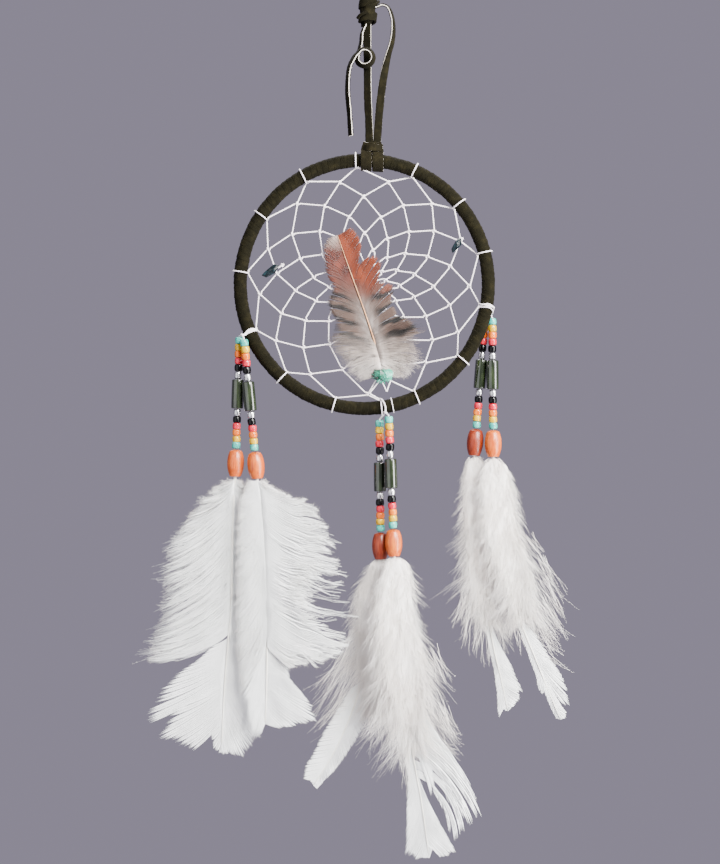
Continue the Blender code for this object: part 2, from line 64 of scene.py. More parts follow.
# ------------------------------------------------------------------ camera first
scene = bpy.context.scene
cam_data = bpy.data.cameras.new("camera")
cam_data.lens = 85.0
cam_data.sensor_width = 36.0
cam_data.clip_start, cam_data.clip_end = 0.01, 30.0
cam = bpy.data.objects.new("camera", cam_data)
scene.collection.objects.link(cam)
cx, _, cz = at(360, 432)
cam.location = (cx * MM, -864 * STEP * 85.0 / 36.0 * MM, cz * MM)
cam.rotation_euler = (math.pi / 2, 0, 0)
scene.camera = cam


# -------------------------------------------------------------------- point tools
def unit(a):
    return a / np.maximum(np.linalg.norm(a, axis=-1, keepdims=True), 1e-12)


def run_length(p):
    return np.concatenate([[0.0], np.cumsum(np.linalg.norm(np.diff(p, axis=0), axis=1))])


def resample(p, n):
    s = run_length(p)
    q = np.linspace(0, s[-1], n)
    return np.stack([np.interp(q, s, p[:, k]) for k in range(p.shape[1])], 1)


def smooth(points, n=None, step=None):
    """Catmull-Rom curve through the points, evenly resampled."""
    p = np.array(points, float)
    ext = np.vstack([2 * p[0] - p[1], p, 2 * p[-1] - p[-2]])
    t = np.linspace(0, 1, 17)[:-1][:, None]
    out = []
    for i in range(len(p) - 1):
        a, b, c, d = ext[i:i + 4]
        out.append(0.5 * (2 * b + (c - a) * t + (2 * a - 5 * b + 4 * c - d) * t * t
                          + (3 * b - a - 3 * c + d) * t ** 3))
    out.append(p[-1:])
    d = np.vstack(out)
    if n is None:
        n = max(4, int(run_length(d)[-1] / step) + 1)
    return resample(d, n)


def waves(p, size, seed, terms=7):
    """Smooth noise from -1 to 1 at points p, with features about size mm across."""
    rng = np.random.default_rng(seed)
    k = unit(rng.normal(size=(terms, 3))) * (TAU / size) * rng.uniform(0.6, 1.5, (terms, 1))
    ph = rng.uniform(0, TAU, terms)
    return np.sin(p @ k.T + ph).sum(-1) / math.sqrt(terms * 2) / 1.2


def transport(p, closed=False, start=(0, 1, 0)):
    """Tangent and two side directions along a path, without needless twist."""
    if closed:
        t = unit(np.roll(p, -1, 0) - np.roll(p, 1, 0))
    else:
        t = unit(np.gradient(p, axis=0))
    a = np.array(start, float)
    if abs(a @ t[0]) > 0.97:
        a = np.array((1.0, 0.3, 0.2))
    u = np.zeros_like(p)
    a = a - t[0] * (a @ t[0])
    a /= np.linalg.norm(a)
    u[0] = a
    for i in range(1, len(p)):
        a = a - t[i] * (a @ t[i])
        a /= np.linalg.norm(a)
        u[i] = a
    if closed:
        end = u[-1] - t[0] * (u[-1] @ t[0])
        end /= np.linalg.norm(end)
        gap = math.atan2(np.cross(end, u[0]) @ t[0], end @ u[0])
        w = np.cross(t, u)
        g = gap * np.arange(len(p)) / len(p)
        u = u * np.cos(g)[:, None] + w * np.sin(g)[:, None]
    return t, u, np.cross(t, u)


# --------------------------------------------------------------------- mesh tools
class Geo:
    """Points and faces collected for one piece."""

    def __init__(self):
        self.v, self.f, self.m, self.c, self.n = [], [], [], [], 0

    def add(self, v, faces, m=0, c=None):
        v = np.asarray(v, float).reshape(-1, 3)
        for i, f in enumerate(faces):
            f = np.asarray(f, int)
            self.f.append(f + self.n)
            mi = m[i] if isinstance(m, (list, tuple)) else m
            self.m.append(np.broadcast_to(np.asarray(mi, int), (len(f),)))
        if c is None:
            c = np.ones((len(v), 3))
        self.c.append(np.broadcast_to(np.asarray(c, float), (len(v), 3)))
        self.v.append(v)
        self.n += len(v)


def grid_faces(n, k, closed=False, ring_closed=True):
    """Quads of n rings with k points each."""
    i = np.arange(n if closed else n - 1)[:, None]
    j = np.arange(k if ring_closed else k - 1)[None, :]
    a, b = (i * k), ((i + 1) % n) * k
    j2 = (j + 1) % k
    return np.stack([a + j, a + j2, b + j2, b + j], -1).reshape(-1, 4)


def sweep(geo, p, ring, closed=False, start=(0, 1, 0), m=0, c=None, frames=None):
    t, u, w = transport(p, closed, start) if frames is None else frames
    ring = np.broadcast_to(ring, (len(p),) + ring.shape[-2:])
    v = p[:, None] + u[:, None] * ring[..., 0:1] + w[:, None] * ring[..., 1:2]
    n, k = v.shape[:2]
    faces = [grid_faces(n, k, closed)]
    if not closed:
        faces += [np.arange(k - 1, -1, -1)[None], ((n - 1) * k + np.arange(k))[None]]
    geo.add(v, faces, m if not isinstance(m, np.ndarray) else [m] + [0] * (len(faces) - 1), c)


def tube(geo, p, r, sides=10, closed=False, m=0, c=None, start=(0, 1, 0)):
    th = np.arange(sides) * TAU / sides
    ring = np.stack([np.cos(th), np.sin(th)], -1)[None] * np.broadcast_to(r, (len(p),))[:, None, None]
    sweep(geo, p, ring, closed, start, m, c)


def thread(geo, p, radius=0.42, pitch=2.3, step=0.42, closed=False, m=0, sides=8):
    """Two-ply thread: a two-lobed section that turns as it goes."""
    p = np.asarray(p, float)
    if closed:
        p = np.vstack([p, p[:1]])
    total = run_length(p)[-1]
    n = max(6, int(total / step))
    p = resample(p, n + 1 if closed else n)
    if closed:
        p = p[:-1]
    turns = max(1, round(total / pitch * 2)) / 2
    s = np.arange(len(p)) / (len(p) if closed else len(p) - 1)
    th = np.arange(sides) * TAU / sides
    lobe = 1 + 0.17 * np.cos(2 * (th[None] - TAU * turns * s[:, None]))
    ring = np.stack([np.cos(th) * lobe, np.sin(th) * lobe], -1) * radius
    sweep(geo, p, ring, closed, m=m)


def lathe(geo, prof, centre, axis, sides=28, m=0, wob=0.0, seed=0):
    """A closed profile of (distance along the axis, radius) turned round it."""
    d = unit(np.array(axis, float))
    u = unit(np.cross(d, (0.0, 1.0, 0.05)))
    w = np.cross(d, u)
    prof = np.array(prof, float)
    th = np.arange(sides) * TAU / sides
    spoke = u * np.cos(th)[:, None] + w * np.sin(th)[:, None]
    v = np.array(centre, float) + d * prof[:, None, 0:1] + spoke[None] * prof[:, None, 1:2]
    if wob:
        v = v + unit(v - np.array(centre)) * (waves(v.reshape(-1, 3), 2.4, seed) * wob).reshape(v.shape[:2])[..., None]
    geo.add(v, [grid_faces(len(prof), sides, closed=True)[:, ::-1]], m)


def build(name, geo, mats, body=None, stands=(), flat=False, tint=False, sharp=None, recalc=False):
    """Makes the piece, rides it on its body and lets it stand for its CAD nodes."""
    v = (np.vstack(geo.v) * MM).astype(np.float32)
    loops = np.concatenate([f.ravel() for f in geo.f]).astype(np.int32)
    sizes = np.concatenate([np.full(len(f), f.shape[1]) for f in geo.f])
    starts = np.concatenate([[0], np.cumsum(sizes)[:-1]]).astype(np.int32)
    me = bpy.data.meshes.new(name)
    me.vertices.add(len(v))
    me.vertices.foreach_set("co", v.ravel())
    me.loops.add(len(loops))
    me.loops.foreach_set("vertex_index", loops)
    me.polygons.add(len(sizes))
    me.polygons.foreach_set("loop_start", starts)
    me.polygons.foreach_set("material_index", np.concatenate(geo.m).astype(np.int32))
    me.update(calc_edges=True)
    if recalc:
        bm = bmesh.new()
        bm.from_mesh(me)
        bmesh.ops.recalc_face_normals(bm, faces=bm.faces[:])
        bm.to_mesh(me)
        bm.free()
    if not flat:
        me.shade_smooth()
        if sharp:
            me.set_sharp_from_angle(angle=math.radians(sharp))
    if tint:
        col = np.vstack(geo.c)
        rgba = np.concatenate([col, np.ones((len(col), 1))], 1).astype(np.float32)
        me.attributes.new("tint", "FLOAT_COLOR", "POINT").data.foreach_set("color", rgba.ravel())
    for mat in (mats if isinstance(mats, (list, tuple)) else [mats]):
        me.materials.append(mat)
    ob = bpy.data.objects.new(name, me)
    scene.collection.objects.link(ob)
    if body:
        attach(ob, body)
    if stands:
        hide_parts(*stands)
    return ob


# ---------------------------------------------------------------------- materials
def lin(h):
    c = [int(h[i:i + 2], 16) / 255 for i in (1, 3, 5)]
    return tuple(x / 12.92 if x <= 0.04045 else ((x + 0.055) / 1.055) ** 2.4 for x in c)


class Shade:
    """A Principled material whose colour, roughness and relief come from nodes."""

    def __init__(self, name, **fixed):
        self.mat = bpy.data.materials.new(name)
        self.mat.use_nodes = True
        self.t = self.mat.node_tree
        self.b = next(n for n in self.t.nodes if n.type == "BSDF_PRINCIPLED")
        self.pos = self.t.nodes.new("ShaderNodeTexCoord").outputs["Object"]
        self.last = None
        for k, val in fixed.items():
            self.b.inputs[k.replace("_", " ")].default_value = val

    def node(self, kind, **inputs):
        n = self.t.nodes.new(kind)
        for k, val in inputs.items():
            n.inputs[k.replace("_", " ")].default_value = val
        return n

    def noise(self, size, detail=3.0, stretch=(1, 1, 1), rough=0.55, warp=0.0):
        """Noise with features about size mm across; stretch above 1 squeezes them."""
        mp = self.node("ShaderNodeMapping", Scale=stretch)
        self.t.links.new(self.pos, mp.inputs["Vector"])
        n = self.node("ShaderNodeTexNoise", Scale=1000.0 / size, Detail=detail, Roughness=rough, Distortion=warp)
        self.t.links.new(mp.outputs["Vector"], n.inputs["Vector"])
        return n.outputs[0]

    def cells(self, size, stretch=(1, 1, 1)):
        mp = self.node("ShaderNodeMapping", Scale=stretch)
        self.t.links.new(self.pos, mp.inputs["Vector"])
        n = self.node("ShaderNodeTexVoronoi", Scale=1000.0 / size)
        self.t.links.new(mp.outputs["Vector"], n.inputs["Vector"])
        return n.outputs["Distance"]

    def ramp(self, fac, stops):
        r = self.t.nodes.new("ShaderNodeValToRGB")
        e = r.color_ramp.elements
        while len(e) < len(stops):
            e.new(0.5)
        for el, (pos, col) in zip(e, stops):
            el.position = pos
            el.color = (*(lin(col) if isinstance(col, str) else col), 1)
        self.t.links.new(fac, r.inputs["Fac"])
        return r.outputs["Color"]

    def mix(self, fac, a, b, mode="MIX"):
        n = self.t.nodes.new("ShaderNodeMix")
        n.data_type = "RGBA"
        n.blend_type = mode
        if hasattr(fac, "links"):
            self.t.links.new(fac, n.inputs[0])
        else:
            n.inputs[0].default_value = fac
        for val, sock in ((a, n.inputs[6]), (b, n.inputs[7])):
            if hasattr(val, "links"):
                self.t.links.new(val, sock)
            else:
                sock.default_value = (*(lin(val) if isinstance(val, str) else val), 1)
        return n.outputs[2]

    def tint(self):
        n = self.t.nodes.new("ShaderNodeAttribute")
        n.attribute_name = "tint"
        return n.outputs["Color"]

    def colour(self, socket):
        self.t.links.new(socket, self.b.inputs["Base Color"])
        return self

    def rough(self, fac, lo, hi):
        r = self.node("ShaderNodeMapRange")
        for k, val in (("From Min", 0.3), ("From Max", 0.7), ("To Min", lo), ("To Max", hi)):
            r.inputs[k].default_value = val
        self.t.links.new(fac, r.inputs["Value"])
        self.t.links.new(r.outputs["Result"], self.b.inputs["Roughness"])
        return self

    def bump(self, fac, strength, depth):
        b = self.node("ShaderNodeBump", Strength=strength, Distance=depth * MM)
        self.t.links.new(fac, b.inputs["Height"])
        if self.last:
            self.t.links.new(self.last, b.inputs["Normal"])
        self.last = b.outputs["Normal"]
        self.t.links.new(self.last, self.b.inputs["Normal"])
        return self


def suede(name, dark, mid, light):
    s = Shade(name, Sheen_Weight=0.02, Sheen_Roughness=0.45, Sheen_Tint=(0.62, 0.56, 0.44, 1), Specular_IOR_Level=0.07)
    broad, nap = s.noise(3.2, 4), s.noise(0.35, 5, rough=0.7)
    s.colour(s.mix(0.5, s.ramp(broad, [(0.30, dark), (0.52, mid), (0.75, light)]),
                   s.ramp(nap, [(0.35, dark), (0.62, mid), (0.80, light)])))
    return s.rough(nap, 0.85, 1.0).bump(nap, 0.8, 0.25).bump(broad, 0.4, 0.5).mat


SUEDE = suede("suede_nap", "#0c0b05", "#16140a", "#282414")
HITCH_SUEDE = suede("suede_hitch", "#100e07", "#1b180d", "#302b19")
FIBRE = suede("suede_fibre", "#151308", "#2b2715", "#4c452c")
s = Shade("lace_cut_edge", Sheen_Weight=0.1)
n1 = s.noise(0.5, 4)
EDGE = s.colour(s.ramp(n1, [(0.26, "#6f6659"), (0.42, "#c9c1b6"), (0.7, "#e6e0d8")])).rough(n1, 0.8, 0.95).bump(n1, 0.5, 0.12).mat

s = Shade("web_thread", Sheen_Weight=0.12, Specular_IOR_Level=0.35)
n1, n2 = s.noise(0.18, 3), s.noise(9.0, 2)
THREAD = s.colour(s.mix(0.35, s.ramp(n2, [(0.3, "#ece2e6"), (0.7, "#f8f2f3")]),
                        s.ramp(n1, [(0.3, "#cfc2c8"), (0.55, "#f4ecee"), (0.8, "#ffffff")]))
                  ).rough(n1, 0.55, 0.85).bump(n1, 0.5, 0.06).mat

s = Shade("hoop_wire", Metallic=1.0)
n1 = s.noise(1.2, 4)
STEEL = s.colour(s.ramp(n1, [(0.3, "#6f7072"), (0.7, "#a5a6a8")])).rough(n1, 0.25, 0.5).mat


def glass_bead(name, deep, mid, pale, rough=(0.12, 0.3), coat=0.3, spec=0.4):
    """Opaque glass: uneven colour, fine pits and a polished coat."""
    s = Shade(name, Coat_Weight=coat, Coat_Roughness=0.08, Subsurface_Weight=0.10, Subsurface_Scale=0.0006,
              Specular_IOR_Level=spec)
    body, pit = s.noise(2.4, 3), s.noise(0.45, 4)
    s.colour(s.mix(0.3, s.ramp(body, [(0.28, deep), (0.5, mid), (0.74, pale)]),
                   s.ramp(pit, [(0.3, deep), (0.55, mid), (0.8, pale)])))
    return s.rough(pit, *rough).bump(pit, 0.25, 0.06).mat


BEADS = {
    "turquoise": glass_bead("bead_turquoise", "#12887f", "#36a899", "#7ccdbd"),
    "yellow": glass_bead("bead_yellow", "#a88000", "#cca000", "#ecc800"),
    "orange": glass_bead("bead_orange", "#b64400", "#d66400", "#ee8a18"),
    "red": glass_bead("bead_red", "#9c0a1c", "#c61830", "#e0485a"),
    "black": glass_bead("bead_black", "#020202", "#040404", "#08080a", (0.12, 0.25), 0.12, 0.2),
}
s = Shade("bead_silver", Metallic=1.0)
n1, n2 = s.noise(1.1, 4), s.noise(0.3, 3)
BEADS["silver"] = s.colour(s.ramp(n1, [(0.3, "#9a9a9c"), (0.5, "#dededf"), (0.7, "#fafafa")])).rough(n2, 0.20, 0.36).bump(n2, 0.12, 0.03).mat

s = Shade("tube_glass", Coat_Weight=1.0, Coat_Roughness=0.15, Specular_IOR_Level=0.5)
n1, n2 = s.noise(2.2, 4, (1, 1, 0.25)), s.noise(0.6, 3)
TUBE = s.colour(s.ramp(n1, [(0.28, "#0e130a"), (0.52, "#1b2412"), (0.78, "#354026")])).rough(n2, 0.04, 0.14).bump(n2, 0.08, 0.05).mat

s = Shade("bead_wood", Coat_Weight=0.35, Coat_Roughness=0.22, Specular_IOR_Level=0.45)
grain, broad = s.noise(0.55, 5, (1, 1, 0.08), warp=0.6), s.noise(5.0, 3)
WOOD = s.colour(s.mix(0.55, s.ramp(broad, [(0.3, "#a03800"), (0.5, "#c45206"), (0.72, "#d86e16")]),
                      s.ramp(grain, [(0.3, "#8a2e02"), (0.5, "#c65406"), (0.72, "#e2862c")]))
                ).rough(grain, 0.28, 0.5).bump(grain, 0.35, 0.10).mat
# Painted shade: a darker copy of the wood for the two back barrels, standing in for the shadow they hang in.
s = Shade("bead_wood_painted_shade", Coat_Weight=0.3, Coat_Roughness=0.25, Specular_IOR_Level=0.4)
grain, broad = s.noise(0.55, 5, (1, 1, 0.08), warp=0.6), s.noise(5.0, 3)
WOOD_PAINTED_SHADE = s.colour(s.mix(0.55, s.ramp(broad, [(0.3, "#571603"), (0.5, "#782306"), (0.72, "#96360f")]),
                           s.ramp(grain, [(0.3, "#4a1203"), (0.5, "#7a2406"), (0.72, "#a44a1c")]))
                     ).rough(grain, 0.3, 0.55).bump(grain, 0.35, 0.10).mat


def plume(name, dark, mid, pale, tinted=False, warm=None):
    s = Shade(name, Roughness=0.75, Sheen_Weight=0.25, Sheen_Roughness=0.4, Specular_IOR_Level=0.3)
    streak, cloud = s.noise(0.8, 4, (1, 1, 0.15)), s.noise(14.0, 3)
    col = s.mix(0.4, s.ramp(cloud, [(0.3, dark), (0.5, mid), (0.7, pale)]),
                s.ramp(streak, [(0.3, dark), (0.5, mid), (0.7, pale)]))
    if tinted:
        col = s.mix(1.0, col, s.tint(), "MULTIPLY")
    return s.colour(col).rough(streak, 0.6, 0.9).bump(streak, 0.25, 0.08).mat


WHITE = plume("feather_white", "#eceeec", "#f8faf8", "#ffffff")
DOWN = plume("feather_down", "#ece4dc", "#f7f2ec", "#fffcf8")
QUILL = plume("feather_quill", "#dcd8cc", "#efece2", "#fbf9f2")
RUST = plume("feather_rust", "#cfc8c4", "#ece8e4", "#ffffff", tinted=True)
TAN = plume("quill_tan", "#9c6a45", "#c8946a", "#e4bd98")

s = Shade("stone_teal", Coat_Weight=0.3, Coat_Roughness=0.2, Subsurface_Weight=0.1, Subsurface_Scale=0.0008)
n1, n2 = s.noise(2.6, 5, warp=0.8), s.noise(0.6, 4)
TEAL = s.colour(s.mix(0.35, s.ramp(n1, [(0.34, "#02291d"), (0.5, "#054a36"), (0.66, "#1c7c62")]),
                      s.ramp(n2, [(0.3, "#022e20"), (0.55, "#095a43"), (0.8, "#36a488")]))
                ).rough(n2, 0.2, 0.5).bump(n2, 0.5, 0.2).mat
s = Shade("stone_dark", Coat_Weight=0.0, Specular_IOR_Level=0.3)
n1, n2 = s.noise(1.4, 5, warp=0.5), s.noise(0.4, 3)
DARK = s.colour(s.ramp(n1, [(0.3, "#020506"), (0.55, "#06161b"), (0.8, "#1a3c44")])).rough(n2, 0.2, 0.5).bump(n2, 0.4, 0.15).mat

# ------------------------------------------------------------------- suede lace
LACE_W, LACE_T = 3.8, 1.4
LACE_RING = np.array([(-.84, 1), (-.42, .93), (0, .95), (.42, .93), (.84, 1), (.97, .80), (1, .26), (1, -.26),
                      (.97, -.80), (.84, -1), (.42, -.93), (0, -.95), (-.42, -.93), (-.84, -1), (-.97, -.80),
                      (-1, -.26), (-1, .26), (-.97, .80)])
LACE_MATS = [SUEDE, EDGE]


def lace(geo, p, angles=None, wdir=None, step=0.5, width=LACE_W, thick=LACE_T, seed=1, rough=0.07, ends=True, pale=True):
    """A flat suede lace.  angles turns its width from along Y (0) to across the path
    (90); wdir gives its width direction outright.  The cut edges show the pale core."""
    p = smooth(p, step=step)
    n = len(p)
    t = unit(np.gradient(p, axis=0))
    if wdir is None:
        y = np.array([0.0, 1.0, 0.0])
        y = unit(y - t * (t @ y)[:, None])
        side = np.cross(t, y)
        a = np.radians(np.interp(np.linspace(0, len(angles) - 1, n), np.arange(len(angles)), angles))[:, None]
        w = y * np.cos(a) + side * np.sin(a)
    else:
        wd = np.array(wdir, float)
        if wd.ndim == 2:
            wd = resample_dirs(wd, n)
        w = unit(wd - t * (t * wd).sum(-1, keepdims=True))
    nn = np.cross(t, w)
    ring = LACE_RING[None] * np.array([width / 2, thick / 2])
    grow = 1 + 0.035 * waves(p, 6.0, seed)[:, None, None]
    v = p[:, None] + w[:, None] * ring[..., 0:1] * grow + nn[:, None] * ring[..., 1:2] * grow
    flat_v = v.reshape(-1, 3)
    shove = np.stack([waves(flat_v, 1.3, seed + k) for k in (1, 2, 3)], -1) * rough
    flat_v = flat_v + shove
    k = len(LACE_RING)
    faces = grid_faces(n, k)
    col = np.tile(np.isin(np.arange(k), (6, 15)), n - 1).astype(int) if pale else 0
    geo.add(flat_v, [faces, np.arange(k - 1, -1, -1)[None], ((n - 1) * k + np.arange(k))[None]],
            [col, 1 if (ends and pale) else 0, 1 if (ends and pale) else 0])
    return p


def resample_dirs(d, n):
    q = np.linspace(0, len(d) - 1, n)
    return np.stack([np.interp(q, np.arange(len(d)), d[:, k]) for k in range(3)], 1)


def fibres(geo, roots, normals, length, radius, seed, m=0, lay=0.6):
    """Short tapered fibres standing off a surface, three-sided and closed."""
    rng = np.random.default_rng(seed)
    n = len(roots)
    d = unit(normals + rng.normal(size=(n, 3)) * lay)
    u = unit(np.cross(d, rng.normal(size=(n, 3))))
    w = np.cross(d, u)
    ln = (length * rng.uniform(0.5, 1.3, n))[:, None]
    base = roots - normals * 0.05
    th = np.arange(3) * TAU / 3
    v = base[:, None] + (u[:, None] * np.cos(th)[None, :, None] + w[:, None] * np.sin(th)[None, :, None]) * radius
    tip = (base + d * ln)[:, None]
    v = np.concatenate([v, tip], 1)
    o = (np.arange(n) * 4)[:, None]
    tri = np.array([[0, 2, 1], [0, 1, 3], [1, 2, 3], [2, 0, 3]])
    geo.add(v, [(o[:, :, None] + tri[None]).reshape(-1, 3)], m)


KNOT_Z1 = -34.0
HITCH_X, HITCH_TOP = 0.37, -91.2
HOOP = np.array([-3.27, 0.0, -160.9])
HOOP_R = 60.6
TILT_Z = HOOP[2] + math.sqrt(HOOP_R ** 2 - (HITCH_X - HOOP[0]) ** 2)

# free end of the lace first: it is the one free cord
tail = [(-2.4, -2.3, KNOT_Z1 - 0.3), (-4.3, -2.35, -38.5), (-4.7, -2.4, -43.0), (-5.9, -2.6, -48.0)]
for k in range(11):
    a = math.radians(195 + 32 * k)
    tail.append((-2.93 + 3.9 * math.cos(a), -2.7 - 0.37 * k, -50.8 + 3.9 * math.sin(a)))
tail += [(-8.3, -7.0, -51.5), (-10.6, -7.0, -56.7), (-11.4, -6.6, -66.9), (-10.5, -6.2, -78.2), (-9.8, -6.0, -89.2)]
geo = Geo()
tail_path = lace(geo, tail, [-8, -16, -22, -24, -20, -24, -20, -24, -22, -26], step=0.45, seed=5)
tail_ob = build("lace_free_end", geo, LACE_MATS, "hanger", ["lace_tail"], recalc=True, sharp=50)

geo = Geo()
lace(geo, [(-1.9, 0, -21.5), (-3.3, 0, -16.5), (-4.9, 0, -11.5), (-5.2, 0, -6.5), (-3.9, 0, -1.8),
           (0, 0, 0.75), (3.9, 0, -1.8), (5.2, 0, -6.5), (4.5, 0, -11.5), (2.2, 0, -16.5), (0.4, 0, -21.5)],
     [3, -4, 2, 0, 4, -3, 2], seed=11)
build("hanging_loop_lace", geo, LACE_MATS, "hanger", ["nail_loop"], recalc=True, sharp=50)

# overhand knot: a packed core under three crossing turns of lace
geo = Geo()
kz = np.linspace(-20.8, -33.6, 15)
kf = np.clip(np.sin(np.linspace(0.12, 0.92, 15) * math.pi), 0, 1) ** 0.55
th = np.arange(28) * TAU / 28
core = np.stack([np.stack([-1.6 + 3.75 * f * np.cos(th), 3.55 * f * np.sin(th), np.full(28, z)], -1)
                 for z, f in zip(kz, kf)])
core = core.reshape(-1, 3)
core = core + np.stack([waves(core, 3.0, 40 + q) for q in range(3)], -1) * 0.25
geo.add(core, [grid_faces(15, 28), np.arange(27, -1, -1)[None], (14 * 28 + np.arange(28))[None]])
build("knot_core", geo, [SUEDE], "hanger", recalc=True)
for name, ang0, ang1, z0, z1, rad, seed in (("knot_lower_turn", 150, 500, -30.2, -32.0, 3.9, 21),
                                             ("knot_upper_turn", -20, 345, -23.4, -25.0, 3.8, 22),
                                             ("knot_cross_turn", 200, 360, -31.5, -23.0, 4.15, 23)):
    aa = np.radians(np.linspace(ang0, ang1, 15))
    zz = np.linspace(z0, z1, 15) + 0.7 * np.sin(aa * 1.0 + seed)
    pts = np.stack([-1.6 + rad * np.cos(aa), rad * 0.95 * np.sin(aa), zz], -1)
    geo = Geo()
    lace(geo, pts, wdir=(0.12, 0.0, 1.0) if name != "knot_cross_turn" else (0.7, 0, 0.7), width=4.2, thick=1.3,
         seed=seed, rough=0.13, pale=False)
    build(name, geo, LACE_MATS, "hanger", ["hanger_knot"], recalc=True, sharp=50)

# two straps from the knot to the hitch, each with a set twist along its length
geo = Geo()
lace(geo, [(-1.8, 1.2, KNOT_Z1 + 1.5), (-1.8, 1.2, -40), (-1.7, 1.2, -52), (-1.5, 1.0, -70), (-0.9, 0.4, -84),
           (-0.85, 0.0, HITCH_TOP - 1.2)], [112, 116, 113, 116, 112, 98], seed=31)
ob = build("strap_left", geo, LACE_MATS, None, ["left_strap"], recalc=True, sharp=50)
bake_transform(ob)
geo = Geo()
lace(geo, [(1.6, 0, -25.6), (3.4, 0, -25.0), (5.6, 0, -24.3), (8.2, 0, -25.4), (9.9, 0, -28.8), (10.9, 0, -34.5),
           (10.3, 0, -42), (8.1, 0, -50), (6.1, 0, -60), (4.2, 0, -75), (2.9, 0, HITCH_TOP - 1.2)],
     [12, 12, 16, 22, 30, 52, 84, 88, 86, 88, 88], seed=32)
ob = build("strap_right", geo, LACE_MATS, None, ["right_strap"], recalc=True, sharp=50)
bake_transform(ob)

# lark's-head hitch over the rim: two bands and the bight across them
slope = math.asin((HITCH_X - HOOP[0]) / HOOP_R)
for name, x, w, seed in (("hitch_band_left", -2.35, 5.2, 51), ("hitch_band_right", 3.3, 5.4, 52)):
    rr = 4.75
    zc = TILT_Z - (x - HITCH_X) * math.tan(slope)
    loop = [(x * 0.62 + 0.3, 2.2, TILT_Z + 8.6)]
    for q in np.linspace(70, -250, 17):
        b = math.radians(q)
        loop.append((x, rr * math.cos(b), zc + rr * math.sin(b)))
    loop.append((x * 0.62 + 0.3, -2.2, TILT_Z + 8.2))
    geo = Geo()
    lace(geo, loop, wdir=(1, 0, -math.tan(slope)), width=w, thick=1.25, seed=seed, rough=0.09)
    build(name, geo, [HITCH_SUEDE, EDGE], "hitch", ["rim_hitch"], recalc=True, sharp=50)
aa = np.radians(np.linspace(100, 470, 23))
pts = np.stack([0.75 + 4.5 * np.cos(aa), 4.1 * np.sin(aa), -94.6 + 0.5 * np.cos(aa) + 0.25 * np.sin(2 * aa)], -1)
geo = Geo()
lace(geo, pts, wdir=(0.08, 0, 1), width=3.3, thick=1.2, seed=53, rough=0.09)
build("hitch_bight", geo, [HITCH_SUEDE, EDGE], "hitch", ["rim_hitch"], recalc=True, sharp=50)
geo = Geo()
hz = np.linspace(-91.4, -95.8, 6)
hc = np.stack([np.stack([0.75 + 3.5 * f * np.cos(th), 3.2 * f * np.sin(th), np.full(28, z)], -1)
               for z, f in zip(hz, (0.62, 0.9, 1, 1, 1, 0.9))]).reshape(-1, 3)
hc = hc + np.stack([waves(hc, 2.4, 60 + q) for q in range(3)], -1) * 0.2
geo.add(hc, [grid_faces(6, 28), np.arange(27, -1, -1)[None], (5 * 28 + np.arange(28))[None]])
build("hitch_core", geo, [HITCH_SUEDE], "hitch", ["rim_hitch"], recalc=True)

# ------------------------------------------------------------------ wrapped hoop
TURNS = 122
WRAP_MEAN = 3.02


def rim_frame(deg):
    a = np.radians(deg)
    radial = np.stack([np.cos(a), np.zeros_like(a), np.sin(a)], -1)
    along = np.stack([-np.sin(a), np.zeros_like(a), np.cos(a)], -1)
    return radial, along


def wrap_surface(phi, theta):
    """Point on the winding at rim angle phi and section angle theta (degrees)."""
    radial, along = rim_frame(phi)
    f = (TURNS * phi / 360 + theta / 360 + 0.05 * np.sin(np.radians(phi * 7)) + 0.04 * np.sin(np.radians(phi * 23))) % 1.0
    h = 0.16 + 0.14 * f ** 0.8 - 0.15 * np.exp(-((1 - f) / 0.05) ** 2) - 0.07 * np.exp(-(f / 0.10) ** 2)
    b = np.radians(theta)
    d = radial * np.cos(b)[..., None] + np.array([0, 1.0, 0]) * np.sin(b)[..., None]
    c = HOOP + radial * HOOP_R
    p = c + d * WRAP_MEAN
    fl = p.reshape(-1, 3)
    nz = (waves(fl, 6.0, 71) * 0.12 + waves(fl, 1.6, 72, 12) * 0.09 + waves(fl, 0.6, 73, 14) * 0.05).reshape(h.shape)
    return c + d * (WRAP_MEAN + h + nz)[..., None], d


na, nb = (TURNS * 14, 30) if FINE else (TURNS * 8, 18)
PHI, THE = np.meshgrid(np.arange(na) * 360 / na, np.arange(nb) * 360 / nb, indexing="ij")
p, _ = wrap_surface(PHI, THE)
geo = Geo()
geo.add(p, [grid_faces(na, nb, closed=True)[:, ::-1]])
build("rim_winding", geo, [SUEDE], "hoop", ["hoop_wrap"])
rng = np.random.default_rng(7)
nf = 9000 if FINE else 1500
ph, te = rng.uniform(0, 360, nf), rng.uniform(0, 360, nf)
p, d = wrap_surface(ph, te)
geo = Geo()
fibres(geo, p, d, 0.55, 0.028, 8, lay=0.9)
build("rim_winding_nap", geo, [FIBRE], "hoop", flat=True)
geo = Geo()
aa = np.radians(np.arange(240) * 1.5)
tube(geo, HOOP + HOOP_R * np.stack([np.cos(aa), 0 * aa, np.sin(aa)], -1), 1.5, 14, closed=True)
build("hoop_wire", geo, [STEEL], "hoop", ["hoop_ring"])

